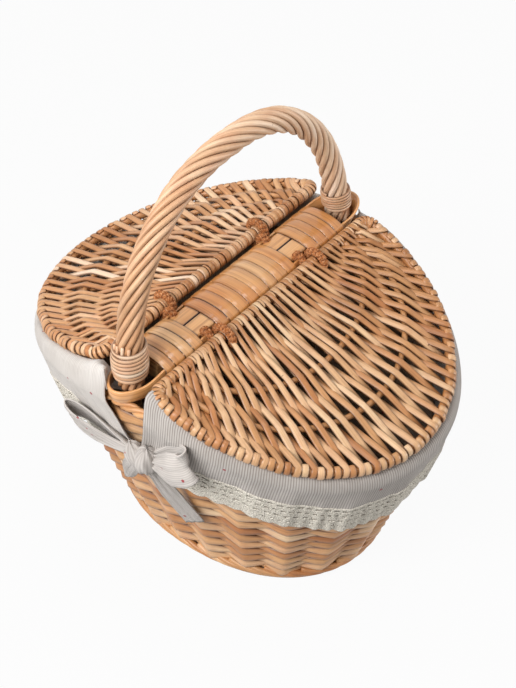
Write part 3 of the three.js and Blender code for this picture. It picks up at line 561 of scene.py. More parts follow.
LID_REACH = 0.945  # share of the hinge line and the edge that the strips cover
LID_INSET = 3
STRIP_HALF, STRIP_ROUND = 1.0, 1.3  # half thickness of a strip at its wrapped ends and along it
LID_RING = LID_ROD / 2 - STRIP_HALF  # radius of the strips' turns round the frame
HINGE_BENDS = {1: (300, 98), -1: (40, 262)}  # degrees round the hinge rod, over its top or from below
EDGE_BENDS = {1: (84, -120), -1: (-84, 118)}  # the same round the curved edge
STRIP_SIDES = 12
# Painted shade along the strips' edges, where they meet their neighbours
STRIP_PAINTED_SHADE = painted_seam_shade(STRIP_SIDES, 5, 0.85)


def lid_strips(weave, edge, outwards, side):
    """Flat willow strips that wrap the frame at both ends and pass over and under the ribs in turn."""
    strips, over_rib, step, bend_points, rib_margin, straight = 72, 4.2, 3.5, 9, 0.08, 0.85
    over_half, under_half, edge_half = 2.45, 1.1, 2.85  # half the width of a strip where it turns
    for k in range(strips):
        s = -LID_REACH + 2 * LID_REACH * (k + 0.5) / strips
        at = int(round((s + 1) / 2 * (len(edge) - 1)))
        start = np.array([s * (LID_W - LID_INSET) + rng.normal(0, 0.3), 0.0])
        end = edge[at] + rng.normal(0, 0.4, 2)
        run = end - start
        length = np.linalg.norm(run)
        first = 1 if k % 2 == 0 else -1
        sign, shares, heights = first, [0.0], [first * LID_RING]
        for rib in RIBS:
            share = cross_rib(start, run, rib)
            if share is not None and rib_margin < share < 1 - rib_margin:
                sign = -sign
                shares.append(share)
                heights.append(sign * over_rib)
        sign = -sign
        shares, heights = np.array(shares + [1.0]), np.array(heights + [sign * LID_RING])
        steps = max(8, int(length / step))
        inner = np.linspace(2 / length, 1 - 2 / length, steps)
        i = np.clip(np.searchsorted(shares, inner) - 1, 0, len(shares) - 2)
        f = (inner - shares[i]) / (shares[i + 1] - shares[i])
        f = straight * f + (1 - straight) * ease(f)
        w = heights[i] * (1 - f) + heights[i + 1] * f
        sway = np.sin(math.pi * inner) * rng.normal(0, 0.7) + np.sin(TAU * inner) * rng.normal(0, 0.5)
        across = np.array([-run[1], run[0]]) / length
        body = np.column_stack([start + inner[:, None] * run + sway[:, None] * across, w])
        half = np.interp(inner, [0, 0.1, 0.5, 0.88, 1], [1.9, 2.2, 2.95, 3.15, 3.0])
        # Wrap round the hinge rod
        a = np.radians(np.linspace(*HINGE_BENDS[first], bend_points))
        slip = np.linspace(-0.9, 0, bend_points) * first
        hinge_up = np.column_stack([np.zeros(bend_points), np.cos(a), np.sin(a)])
        hinge = LID_RING * hinge_up
        hinge[:, 0] = start[0] + slip
        # Wrap round the curved edge
        b = np.radians(np.linspace(*EDGE_BENDS[sign], bend_points))
        out = outwards[at]
        shift = np.outer(np.linspace(0, 1.2, bend_points), (out[1], -out[0]))
        rim_up = np.column_stack([np.cos(b)[:, None] * out, np.sin(b)])
        rim = LID_RING * rim_up
        rim[:, :2] += end + shift
        path = np.concatenate([hinge, body, rim])
        up = np.concatenate([hinge_up, np.tile((0, 0, float(first)), (steps, 1)), first * sign * rim_up])
        half = np.pad(half, bend_points, constant_values=(over_half if first > 0 else under_half, edge_half))
        half = half * rng.uniform(0.86, 1.08)
        thick = np.interp(inner, [0, 0.08, 0.9, 1], [STRIP_HALF, STRIP_ROUND, STRIP_ROUND, STRIP_HALF])
        thick = np.pad(thick, bend_points, constant_values=STRIP_HALF)
        weave.tube(lid_place(path, side), thick, sides=STRIP_SIDES, tone=strand_tone(), wide=half / thick,
                   up=lid_turn(up, side), square=0.75, painted_shade=STRIP_PAINTED_SHADE)


def lid_corners(weave, edge, side):
    """Extra turns that cover the frame round both corners."""
    pitch, half_wide, turn_points = 3.1, 1.5, 18
    for sense in (-1, 1):
        share = np.linspace(1, (LID_REACH + 1) / 2, 200)
        corner = [edge[int(round((x if sense > 0 else 1 - x) * (len(edge) - 1)))] for x in share]
        line = np.array([(sense * LID_REACH * (LID_W - LID_INSET), 0.0)] + corner)
        turns = int(round(run_along(line)[-1] / pitch))
        middle = resample(line, turns * turn_points + 1)
        tangent = np.gradient(middle, axis=0)
        for _ in range(6):
            tangent[1:-1] = (tangent[:-2] + tangent[1:-1] + tangent[2:]) / 3
        tangent = unit(tangent, 1e-9)
        normal = np.stack([-tangent[:, 1], tangent[:, 0]], 1)
        a = np.linspace(0, turns * TAU, len(middle)) + math.pi / 2
        up = np.column_stack([normal * np.cos(a)[:, None], np.sin(a)])
        path = np.column_stack([middle, np.zeros(len(middle))]) + LID_RING * up
        tones = np.repeat([strand_tone(0.2, 0.8) for _ in range(turns + 1)], turn_points, axis=0)
        weave.tube(lid_place(path, side), STRIP_HALF, sides=STRIP_SIDES, tone=tones[:len(middle)],
                   wide=half_wide / STRIP_HALF, up=lid_turn(up, side), square=0.6, painted_shade=STRIP_PAINTED_SHADE)


def make_lid(name, side, material):
    body = f"{name}_lid"
    edge_points, frame_step, rib_radius, rib_gap = 4001, 16, 2.5, 3.5
    edge, outwards = lid_edge(edge_points)
    weave = Bundle()
    lid_strips(weave, edge, outwards, side)
    lid_corners(weave, edge, side)
    fields = [f"{body}_{field}_weave" for field in ("hinge", "middle", "edge")]
    weave.build(f"{body}_weavers", material, fields, body)
    rods = Bundle()
    loop = np.concatenate([edge[::frame_step], np.linspace(edge[-1], edge[0], 30)[1:-1]])
    loop = np.column_stack([loop, np.zeros(len(loop))])
    rods.tube(lid_place(loop, side), LID_RING - STRIP_HALF, tone=(0.2, 0, 0.5), closed=True)
    rods.build(f"{body}_frame_rod", material, [f"{body}_frame"], body)
    ribs = Bundle()
    for half_w, depth in RIBS:
        start = math.asin(rib_gap / depth)
        a = np.linspace(start, math.pi - start, 90)
        path = np.column_stack([half_w * np.cos(a), depth * np.sin(a), np.zeros(90)])
        # Painted shade: the ribs get a darker tone, standing in for the shadow of the strands over them
        ribs.tube(lid_place(path, side), rib_radius, sides=10, tone=strand_tone(0.1, 0.6))
    ribs.build(f"{body}_ribs", material, [f"{body}_inner_rib", f"{body}_outer_rib"], body)


# Wall, base and borders

def make_wall():
    """Weavers that pass in front of the stakes, where they spread to meet, and behind them in turn."""
    per_stake, rows, bottom, half_thick, sides = 12, 29, 13.0, 2.1, 12
    # How far the weavers' middle lies inside the wall's outside, and how far they bow out and in
    middle, outwards, inwards, sharp = -6.2, 6.0, 1.9, 0.998
    stake_radius, stake_inset, stake_foot, stake_tip = 2.5, 4.2, 6, 3
    count = STAKES * per_stake
    angle = even_angles(count, HINGE_Z / 2)
    phase = np.arange(count) / per_stake * math.pi
    pitch = (wall_top(angle) - bottom) / rows
    # Painted shade along the top and bottom seams of each weaver
    wall_seam_shade = painted_seam_shade(sides, 2.5, wave=np.cos)
    weave = Bundle()
    for row in range(rows):
        wave = 2 / math.pi * np.arcsin(sharp * np.cos(phase + math.pi * row))
        front, back = np.clip(wave, 0, 1), np.clip(-wave, 0, 1)
        sag = rng.normal(0, 0.4, STAKES)
        sag = np.interp(np.arange(count), np.arange(0, count + 1, per_stake), np.append(sag, sag[0]))
        height = bottom + pitch * (row + 0.5) + sag
        path = wall(angle, height, middle + outwards * front - inwards * back)
        tall = pitch * (0.5 + 0.4 * front) * rng.uniform(0.95, 1.05)
        cut = rng.integers(0, count)
        share = rng.integers(count // 3, 2 * count // 3)
        first, second = strand_tone(), strand_tone()
        tones = np.where(((np.arange(count) - cut) % count < share)[:, None], first, second)
        # Painted shade: seams darkened, and weavers darkened where they pass behind the stakes
        dark = np.maximum(wall_seam_shade, 0.75 * np.append(back, back[0])[:, None])
        weave.tube(path, tall, sides=sides, tone=tones, closed=True, wide=half_thick / tall, square=0.7,
                   painted_shade=dark)
    weave.build("wall_weavers", WALL_WILLOW, ["side_wall"])
    stakes = Bundle()
    for a in even_angles(STAKES, HINGE_Z / 2):
        z = np.linspace(stake_foot, float(wall_top(np.array([a]))[0]) + stake_tip, 24)
        stakes.tube(wall(a, z, -stake_inset), stake_radius, tone=strand_tone(0.1, 0.6))
    stakes.build("wall_stakes", WALL_WILLOW)


def make_foot():
    """Border of thick rods that slant down past each other, on a ring that the basket stands on."""
    border = Bundle()
    rods, step, points, thick, taper, ring_thick = 2 * STAKES, 8, 29, 2.7, 0.12, 3.2
    start, fall, ring_z = 15.5, 12.2, 3.3
    spokes = even_angles(rods * step, 4)
    t = np.linspace(0, 1, points)
    offset = -3.4 + 3.6 * np.sin(math.pi * np.clip(t * 1.15, 0, 1)) ** 0.8 - 1.2 * t
    for j in range(rods):
        i = (j * step + np.arange(points)) % len(spokes)
        line = wall(spokes[i], start - fall * t, offset)
        border.tube(line, thick * (1 - taper * t), tone=strand_tone(0.0, 0.7))
    ring = wall(even_angles(140, 4), ring_z, -FOOT_ROD / 2 - 0.6)
    border.tube(ring, ring_thick, sides=9, tone=(0.3, 0.0, 0.5), closed=True)
    border.build("foot_rods", WALL_WILLOW, ["foot_border"])


def make_rim():
    """Three rods twisted together along the wall's top."""
    rim = Bundle()
    points, rods, turns, ring, thick = 420, 3, 34, 2.2, 2.25
    a = even_angles(points, 200)
    top = wall_top(a) + SEAT + RIM_ROD / 2
    for j in range(rods):
        turn = np.arange(points) / points * TAU * turns + j * TAU / rods
        path = wall(a, top, -WALL / 2 + ring * np.cos(turn))
        path[:, 2] += ring * np.sin(turn)
        rim.tube(path, thick, sides=7, tone=strand_tone(0.2, 0.8), closed=True)
    rim.build("rim_rods", WALL_WILLOW, ["rim_border"])


def make_base():
    """Rings of weavers over and under spokes."""
    base = Bundle()
    rings, spokes, middle, wave, inset, weaver, spoke = 24, 14, 4.6, 2.3, 3.4, 2.05, 2.3
    for ring in range(1, rings + 1):
        share = ring / (rings + 0.4)
        n = max(56, int(160 * share)) // spokes * spokes
        a = np.arange(n) / n * TAU
        x, y = oval(a, (BASE_W - inset) * share, (BASE_L - inset) * share, -1.0)
        z = middle + wave * np.cos(a * spokes + math.pi * ring)
        base.tube(np.stack([x, y, z], 1), weaver, sides=6, tone=strand_tone(), closed=True)
    t = np.linspace(0.02, 1, 8)
    for j in range(spokes):
        x, y = oval((j + 0.5) / spokes * TAU, BASE_W - 6, BASE_L - 6)
        line = np.stack([x * t, y * t, np.full(8, middle)], 1)
        base.tube(line, spoke, sides=7, tone=strand_tone(0, 0.5))
    base.build("base_weave", WALL_WILLOW, ["base_panel"])


# Handle

def arch(count):
    """The handle's middle line, foot to foot, evenly spaced."""
    a = np.linspace(math.pi, 0, 4001)
    x = SPAN * bend(np.cos(a), 2 / ARCH_POWER)
    rise = (RISE + ROD_FOOT) * np.maximum(np.sin(a), 0) ** (2 / ARCH_POWER)
    return resample(np.stack([x, 0 * a, HINGE_Z - ROD_FOOT + rise], 1), count)


def make_handle():
    """Willow rods twisted round the core, painted paler towards the far foot as painted light on the leg in
    shade.
    """
    count, sides, foot_sides, ring_radius, rod_radius, foot_radius = 230, 12, 8, 7.95, 2.55, 1.9
    line = arch(count)
    across = np.array([0, 1.0, 0])
    outwards = np.cross(unit(np.gradient(line, axis=0)), across)
    share = np.linspace(0, 1, count)
    for i in range(HANDLE_RODS):
        rod = Bundle()
        angle = TAU * i / HANDLE_RODS - TAU * HANDLE_TURNS * share
        ring = ring_radius + 0.2 * np.sin(share * 9 + i)
        radial = np.cos(angle)[:, None] * outwards + np.sin(angle)[:, None] * across
        radius = rod_radius + 0.1 * np.sin(share * 13 + 2 * i)
        tones = np.tile(strand_tone(0.0, 0.4), (count, 1))
        # Painted light: tones grow paler towards the far foot, brightening the leg that lies in shade
        tones[:, 0] += 0.6 * np.clip(1.5 * share, 0, 1)
        # Painted shade in the seams between rods
        rod.tube(line + ring[:, None] * radial, radius, sides=sides, tone=tones, up=radial,
                 painted_shade=painted_seam_shade(sides, 6, 0.32))
        # Thin ends that run on down inside the band
        for end in (0, -1):
            foot = line[end] + radial[end] * np.linspace(6.6, 5.4, 6)[:, None]
            foot[:, 2] += np.linspace(2, -15, 6)
            # Painted shade along the seams of the thin ends
            rod.tube(foot, foot_radius, sides=foot_sides, tone=tones[end], up=radial[end],
                     painted_shade=painted_seam_shade(foot_sides, 4))
        rod.build(f"rope_rod_{i + 1}", HANDLE_WILLOW, [f"handle_rod_{i + 1}"])
    make_binding("left", line[:40], 0.0, 8, 1.6, 254.0, 11.8, 2.0, (2.5, 2.95, 3.4, 3.85))
    make_binding("right", line[:-41:-1], math.pi, 6, 1.25, 253.0, 11.2, 0.5)


def make_binding(name, leg, start, turns, half, middle, girth, belly, stubs=()):
    """Flat cane wound round a foot of the handle, widest at its middle, with cut ends of rods held in it.
    Half is half the width of the cane, middle the height of the binding's middle."""
    thick, turn_steps, sides, gap, stub_ring, stub_radius = 1.05, 36, 10, 0.2, 11.2, 1.3
    coil = Bundle()
    steps = turns * turn_steps
    t = np.linspace(0, 1, steps)
    a = TAU * turns * t + start
    height = middle + (2 * half + gap) * turns * (t - 0.5) + 0.25 * np.sin(0.9 * a)
    axis = np.column_stack([np.interp(height, leg[:, 2], leg[:, 0]), np.zeros(steps), height])
    radial = np.stack([np.cos(a), np.sin(a), np.zeros(steps)], 1)
    radius = girth + belly * np.sin(math.pi * (0.12 + 0.8 * t)) + 0.15 * np.sin(1.7 * a)
    tones = np.repeat([strand_tone(0.1, 0.9) for _ in range(turns * 2)], turn_steps // 2, axis=0)
    # Painted shade in the seams between turns of cane
    coil.tube(axis + radius[:, None] * radial, thick, sides=sides, tone=tones, up=radial, wide=half / thick,
              square=0.75, painted_shade=painted_seam_shade(sides, 6, 0.8))
    for a in stubs:
        out = np.array([math.cos(a), math.sin(a), 0])
        z = np.linspace(middle, height[-1] + rng.uniform(2, 6), 4)
        stub = np.column_stack([np.interp(z, leg[:, 2], leg[:, 0]), np.zeros(4), z]) + out * stub_ring
        coil.tube(stub, stub_radius, tone=strand_tone(0.3, 1.0), up=out)
    coil.build(f"{name}_cane_binding", CANE, [f"{name}_binding"])


# Bridge

def make_band():
    """Bamboo band bent round both feet of the handle: pressed down at the near end, flared at the far one."""
    half_t, half_h, soft = BAND_T / 2, BAND_H / 2, 0.7
    sink, squeeze, top_lean, bottom_lean = 1.8, 0.34, 1.5, 6.5
    a = np.linspace(-math.pi / 2, math.pi / 2, 40)
    half_w, reach = BRIDGE_W - half_t, BAND_REACH - half_t
    right = np.stack([BAND_END + reach * np.cos(a), half_w * np.sin(a)], 1)
    straight = np.linspace((BAND_END, half_w), (-BAND_END, half_w), 24)[1:-1]
    loop = np.concatenate([right, straight, -right, -straight])
    tangent = unit(np.roll(loop, -1, 0) - np.roll(loop, 1, 0))
    out = np.stack([tangent[:, 1], -tangent[:, 0]], 1)
    edge = half_h - soft
    section = ((half_t - 0.25, -half_h), (half_t, -edge), (half_t + 0.15, 0), (half_t, edge),
               (half_t - 0.4, half_h), (0.4 - half_t, half_h), (-half_t, edge), (-half_t, -edge))
    pressed = ease(ramp(-loop[:, 0], 104, 130))
    flare = ramp(loop[:, 0], 108, 128)
    rows = []
    for d, h in section:
        lean = flare * (top_lean - (top_lean + bottom_lean) * (0.5 - h / BAND_H))
        z = BAND_Z + half_h - sink * pressed + h * (1 - squeeze * pressed)
        rows.append(np.column_stack([loop + out * (d + lean)[:, None], z]))
    ring = np.stack(rows, 1)
    band = Bundle()
    band.grid(np.concatenate([ring, ring[:1]]), (0.5, 0.0, 0.5), wrap=True)
    band.build("bamboo_band", BAND, ["bridge_band"])


def wrap_section(out):
    """Section of the bridge's splints, some way out from the bridge: a domed top and a flat base."""
    side, low, shoulder = BRIDGE_W + 0.3 + out, BAND_Z - 0.3 - out, HINGE_Z - 1.5
    crown = HINGE_Z + 3.2 + out
    t = np.linspace(-1, 1, 29)
    dome = np.stack([side * t, shoulder + (crown - shoulder) * (1 - np.abs(t) ** 2.6)], 1)
    right = np.linspace((side, shoulder), (side, low), 5)[1:]
    base = np.linspace((side, low), (-side, low), 12)[1:]
    left = np.linspace((-side, low), (-side, shoulder), 5)[1:-1]
    return np.concatenate([dome, right, base, left])


def splint(bundle, x0, x1, tone, extra):
    """One splint round the bridge, with rounded edges and painted shade along them."""
    edge = np.array([0, 0, 0.15, 0.45, 0.9])
    xs = np.concatenate([x0 + edge, [(x0 + x1) / 2], x1 - edge[::-1]])
    outs = np.array([0.2, 0.9, 1.2, 1.35]) + extra
    outs = np.concatenate([[0.0], outs, [1.42 + extra], outs[::-1], [0.0]])
    sections = [wrap_section(out) for out in outs]
    points = np.stack([np.column_stack([np.full(len(s), x), s]) for x, s in zip(xs, sections)])
    lengths = run_along(np.concatenate([points[4], points[4, :1]]))
    x = points[..., 0]
    shift = rng.uniform(0, 500)
    uv = np.stack(np.broadcast_arrays(x[:, :1] - x0 + 400 * tone[2], lengths[None] + shift), -1) / 1000
    tones = full_tone(x.shape, tone)
    # Painted shade along both edges of the splint, in the seams between splints
    tones[..., 1] = np.clip(1 - (np.minimum(x - x0, x1 - x) - 0.1), 0, 1) * (0.25 + 0.75 * tone[2])
    bundle.grid(points, tones, wrap=True, uv=uv)


def make_bridge():
    """Splints wrapped round the bridge in three groups, over two long slats."""
    gap = 0.1
    spans = (("left", -WRAP_END, -WRAP_START, 4), ("centre", -CENTRE_WRAP, CENTRE_WRAP, 8),
             ("right", WRAP_START, WRAP_END, 4))
    for name, x0, x1, count in spans:
        wrap = Bundle()
        cuts = np.linspace(x0, x1, count + 1)
        cuts[1:-1] += rng.uniform(-1.2, 1.2, count - 1)
        for a, b in zip(cuts[:-1], cuts[1:]):
            tone = strand_tone(0.0, 0.5) if name == "right" else strand_tone(0.1, 1.0)
            splint(wrap, a + gap, b - gap, tone, rng.uniform(-0.12, 0.2))
        wrap.build(f"{name}_splints", SPLINT, [f"{name}_splint_wrap"])
    y = np.array([0.25, 0.5, 1.4, 6, 11, 14.2, 15.2, 15.4])
    top = np.array([0.3, 1.2, 1.5, 1.35, 0.85, 0.3, -0.3, -1.6]) + HINGE_Z + 1.4
    under = np.minimum(top - BAND_T, HINGE_Z - 0.2)
    xs = np.arange(1 - WRAP_END, WRAP_END, 1.0)
    uv = uv_grid(np.concatenate([y, y[::-1] + 15, [31]]), xs - xs[0])
    near = np.minimum(np.abs(np.abs(xs) - CENTRE_WRAP), np.abs(np.abs(xs) - WRAP_START))
    for name, side in (("front", -1), ("rear", 1)):
        section = np.column_stack([side * np.append(y, y[::-1]), np.append(top, under[::-1])])
        ring = np.stack([np.column_stack([np.full(len(section), x), section]) for x in xs])
        tones = full_tone(ring.shape[:2], strand_tone(0.4, 0.9))
        # Painted shade along the centre seam between the slats and where they pass under the wraps
        tones[:, [0, 1, -1, -2], 1] = 1.0
        tones[..., 1] = np.maximum(tones[..., 1], 1 - ramp(near, 0, 1.6)[:, None])
        slat = Bundle()
        slat.grid(ring[:, ::side], tones[:, ::side], wrap=True, uv=uv)
        slat.build(f"{name}_deck_slat", SPLINT, [f"{name}_bridge_slat"])


def make_ties():
    """Hinge cords: lumpy twisted coir in a figure of eight round the band and the lid's frame rod."""
    plies, ply_ring, lay, bead_pitch, shift = 4, 1.75, 7.0, 2.3, 3.4
    hairs, hair_root, hair_radius = 120, 2.6, 0.12
    lid_radius = LID_ROD / 2 + 0.6 + 2.6
    outer, inner = BRIDGE_W + CORD_ROOM + 2.4, BRIDGE_W - BAND_T - CORD_ROOM - 2
    middle, above, below = BRIDGE_W - BAND_T / 2, HINGE_Z + 2 * CORD_ROOM + 3.0, BAND_Z - 2 * CORD_ROOM - 2

    def around(degrees, x):
        a = math.radians(degrees)
        return (x, HINGE_Y + lid_radius * math.cos(a), HINGE_Z + lid_radius * math.sin(a))

    route = [around(d, -shift) for d in (280, 245, 212)]
    route += [(-shift, outer, HINGE_Z), (-shift, middle, above), (-shift, inner, HINGE_Z)]
    route += [(-shift / 2, inner, BAND_Z), (0, middle, below), (shift, outer, BAND_Z)]
    route += [(shift, outer, HINGE_Z - 4)]
    route += [around(d, shift) for d in (168, 136, 104, 72, 40, 8, -24, -56, -80)]
    line = catmull(route, 420)
    run = run_along(line)
    for lid, side, end, x in (("front", -1, "left", -CORD_X), ("front", -1, "right", CORD_X),
                              ("rear", 1, "left", -CORD_X), ("rear", 1, "right", CORD_X)):
        path = line * (1, side, 1) + (x, 0, 0)
        t, n, b = frames(path, (1, 0, 0))
        tie = Bundle()
        for ply in range(plies):
            a = run / lay * TAU + ply * TAU / plies
            strand = path + ply_ring * (np.cos(a)[:, None] * n + np.sin(a)[:, None] * b)
            strand = strand + rng.normal(0, 0.08, strand.shape)
            bead = np.abs(np.sin(run / bead_pitch * math.pi + ply))
            # Painted shade in the hollows between the beads of each ply
            tone = np.column_stack([rng.uniform(0, 1, len(run)), 0.8 * (1 - bead) ** 2, np.zeros(len(run))])
            tie.tube(strand, 1.15 + 0.5 * bead, tone=tone)
        for _ in range(hairs):
            at = rng.integers(4, len(path) - 4)
            a = rng.uniform(0, TAU)
            out = np.cos(a) * n[at] + np.sin(a) * b[at]
            lean = t[at] * rng.normal(0, 0.8) + out
            hair = path[at] + out * hair_root + np.linspace(0, 1, 4)[:, None] * lean * rng.uniform(0.8, 1.6)
            tie.tube(hair, hair_radius, sides=3, tone=strand_tone(), caps=False, up=t[at] + 0.3)
        tie.build(f"{lid}_{end}_tie", COIR, [f"{lid}_{end}_hinge_cord"])


# Liner

def fold(share, folds, seed):
    """Uneven folds across a cloth, about 0 to 1."""
    first, second, third = np.random.default_rng(seed).uniform(0, TAU, 3)
    turn = TAU * folds * share
    wave = 0.5 - 0.5 * np.cos(turn + 0.4 * np.sin(TAU * 2 * share + first))
    return wave + 0.22 * np.sin(2.3 * turn + second) + 0.1 * np.sin(5.1 * turn + third)


def split_angle(distance):
    """Angle from the handle foot to a signed distance along the wall."""
    share = np.abs(distance) / (BASE_L + FLARE_L * BAND_Z)
    return np.sign(distance) * np.arcsin(share ** (OVAL_POWER / 2))


def cuff_angle(share, below, side):
    """Angles across a cuff: one end slants under the bow's knot, the other stops short of it."""
    near, far = (split_angle(np.interp(below, [0, 37, 61], stops)) for stops in ((9, -10, -13), (31, 18, 19)))
    first, last = (far, near) if side > 0 else (near, far)
    return side * (first + (math.pi - first - last) * share)


def cuff_end(share, reach):
    """1 at the ends of a cuff, falling to 0 further along it."""
    return np.exp(-(np.minimum(share, 1 - share) / reach) ** 2)


def cuff_offset(share, below, seed):
    """Distance of a cuff from the wall: folds towards the hem, drawn out where the bow gathers the ends."""
    clear = 2.9
    slack = np.clip(below / CUFF_DEPTH, 0, 1)
    gather = cuff_end(share, 0.05) * np.exp(-((below - 34) / 14) ** 2)
    pleat = cuff_end(share, 0.09) * np.sin(np.minimum(share, 1 - share) * 260 + 0.1 * below) * slack
    hang = 2.4 * fold(share, 8, seed) * slack**1.3 * (1 - cuff_end(share, 0.06))
    return clear + hang + 4.0 * gather + 0.9 * pleat


def cuff_hem(share, seed):
    """Depth of a cuff's hem below the wall's top; the ends are drawn down to the bow."""
    return CUFF_DEPTH + 14 * cuff_end(share, 0.05) - 1.2 * np.sin(TAU * 3 * share + seed)


def make_cuff(name, side, seed, material):
    """Cloth folded from inside the basket over the rim, with a ruffle beside the bow at the near foot."""
    stations, hem_rows, roll = 260, 18, RIM_ROD / 2 + SEAT + CLOTH / 2
    lid_gap, near_lift, far_lift, band_gap = 1.4, 13, 5, 1.2
    # Angle round the rim, share of the ruffle's height, how far the ruffle leans inwards
    turns = ((-90, 0.4, 10), (-60, 0.55, 8), (-30, 0.7, 4), (0, 0.85, 0), (30, 1, 0), (60, 0.9, 0),
             (90, 0.5, 0))
    share = np.linspace(0, 1, stations)
    a0 = cuff_angle(share, 0.0, side)
    top = wall_top(a0)
    middle = top + SEAT + RIM_ROD / 2
    rim = wall(a0, middle, -WALL / 2)
    rim_out = wall(a0, middle, 1 - WALL / 2) - rim
    near_foot, from_middle = rim[:, 0] < 0, np.abs(rim[:, 1])
    # The cloth stands up from the rim as far as the lid's underside
    most = np.where(near_foot, near_lift, far_lift)
    lift = np.clip(lid_under(rim[:, 1]) - lid_gap - (rim[:, 2] + roll), 0, most)
    ruffle = np.where(near_foot, cuff_end(share, 0.05), 0)
    beside = np.where(near_foot & (side > 0), ramp(140 - from_middle, 0, 60), 0)
    stand = np.maximum(np.where(from_middle < 24, 12, 15) * ruffle, 8 * beside)
    puff = ruffle * ramp(from_middle, 21, 27)
    level = np.maximum(puff, beside)
    rows = [liner(a0, top - 18, 0.6), liner(a0, top - 9.5, 0.6)]
    for degrees, part, inwards in turns:
        c, s = math.cos(math.radians(degrees)), math.sin(math.radians(degrees))
        up = roll * c + lift * (0.35 + 0.65 * c)
        up = up + part * stand + (0.65 * lift + roll) * (1 - c) * level * (degrees < 0)
        rows.append(rim + rim_out * (roll * s - inwards * puff)[:, None] + np.outer(up, (0, 0, 1)))
    for drop in np.linspace(0.0, 1, hem_rows):
        below = cuff_hem(share, seed) * drop
        height = top - below + (0.35 * lift + 0.4 * stand) * (1 - drop) ** 2
        rows.append(wall(cuff_angle(share, below, side), height, cuff_offset(share, below, seed) + CLOTH / 2))
    points = np.stack(rows)
    for _ in range(2):
        points[1:-1] = (points[:-2] + 2 * points[1:-1] + points[2:]) / 4
    # The cloth stays outside the band
    x, y, z = np.moveaxis(points, -1, 0)
    outside = BAND_END + BAND_REACH * np.sqrt(np.clip(1 - (y / BRIDGE_W) ** 2, 0, 1)) + band_gap
    beyond = (np.abs(y) < BRIDGE_W) & (z > BAND_Z - 1)
    points[..., 0] = np.where(beyond, np.sign(x) * np.maximum(np.abs(x), outside), x)
    points = points[:, ::-side]
    along = run_along(points[-4])
    cloth = Bundle()
    cloth.sheet(points, SHEET, uv_grid(along, run_along(points)))
    piece = cloth.build(f"{name}_linen_cuff", material, [f"{name}_cuff"])
    trim = make_lace(name, side, seed, along[-1])


def make_lace(name, side, seed, length):
    """Crochet edge below a cuff's hem: rows of eyelets, gaps between stitches and a scalloped lower edge."""
    cells, levels, scallop, thread = 900, 46, 14.0, 0.0011
    stitch_w, stitch_h, stitch_rows = 1.9, 1.55, 24
    # Height of a row of eyelets, half their height, pitch, width, start
    eyelets = ((4.2, 1.2, 8.4, 5.6, 0), (12.0, 1.0, 7.0, 3.8, 3), (20.0, 1.0, 8.4, 4.6, 5),
               (28.0, 1.0, 7.0, 3.4, 1))
    s = np.linspace(0, 1, cells + 1)[::-side]
    hem = cuff_hem(s, seed)
    at = cuff_angle(s, hem, side)
    top = wall_top(cuff_angle(s, 0.0, side))
    offset = cuff_offset(s, hem, seed)
    scallops = np.abs(np.sin(math.pi * s * length / scallop)) ** 0.7
    deep = LACE_DEPTH * (1 - 0.6 * cuff_end(s, 0.04)) - 2.8 + 2.8 * scallops
    rows = []
    for level in np.linspace(-0.03, 1, levels + 1):
        pucker = 0.5 * np.sin(TAU * s * length / scallop) * level
        rows.append(wall(at, top - hem - deep * level, offset + 1.3 + pucker + 1.6 * level))
    across = np.linspace(0, length, cells + 1)
    uv = uv_grid(across, np.linspace(0, LACE_DEPTH, levels + 1))
    u, v = np.meshgrid(across[:-1] + length / cells / 2, (np.arange(levels) + 0.5) / levels * LACE_DEPTH)
    hole = np.zeros(u.shape, bool)
    for height, tall, pitch, wide, start in eyelets:
        hole |= (np.abs(v - height) < tall) & ((u + start) % pitch < wide)
    gaps = np.random.default_rng(seed).uniform(size=(stitch_rows, int(length / stitch_w) + 1)) < 0.3
    stitch_row = np.minimum((v / stitch_h).astype(int), stitch_rows - 1)
    shifted = u + stitch_w / 2 * (stitch_row % 2)
    stitch = (shifted / stitch_w).astype(int) % gaps.shape[1]
    inside = (shifted % stitch_w < 1.3) & (v % stitch_h < 0.9)
    hole |= gaps[stitch_row, stitch] & inside & (v > 1.5) & (v < LACE_DEPTH - 2.5)
    lace = Bundle()
    lace.grid(np.stack(rows), keep=~hole, uv=uv)
    trim = lace.build(f"{name}_crochet_edge", LACE, [f"{name}_lace"])
    thick = trim.modifiers.new("thickness", "SOLIDIFY")
    thick.thickness = thread
    thick.offset = 0
    return trim


def make_bag():
    """The bag's side, rippled and tucked in at the floor, and its floor."""
    bottom, floor_z, floor_w, floor_l = 14, 11.0, 0.145, 0.232
    a = np.linspace(0, TAU, 181)
    top = wall_top(a) - 10
    rows = []
    for t in np.linspace(0, 1, 22):
        ripple = (1.2 + 2.0 * t) * np.sin(a * 17 + 2 * np.sin(a * 3)) * np.sin(math.pi * t) ** 0.5
        tuck = 6 * np.maximum(0, 1 - t * 9) ** 2
        rows.append(liner(a, bottom + (top - bottom) * t, 2.2 + ripple * 0.5 + tuck))
    bag = Bundle()
    bag.sheet(np.stack(rows), SHEET)
    side = bag.build("liner_bag_side", SHADED_BAG_LINEN, ["liner_side"])
    rows = []
    for t in np.linspace(0.02, 1, 16):
        ring = liner(a, floor_z, 0.8) * (t, t, 1)
        ring[:, 2] += 0.5 * np.sin(a * 3 + 9 * t) * t + 0.35 * np.sin(a * 7 - 14 * t) * t
        rows.append(ring)
    points = np.stack(rows)
    floor = Bundle()
    floor.sheet(points, SHEET, points[..., :2] / 1000)
    ground = floor.build("liner_bag_floor", SHADED_BAG_LINEN, ["liner_floor"])


# Bows

def bow_line(y, z, offset):
    """Points off the wall near the bow."""
    return wall(math.pi - np.arcsin(np.clip(y / (BASE_L + FLARE_L * z), -1, 1)), z, offset)


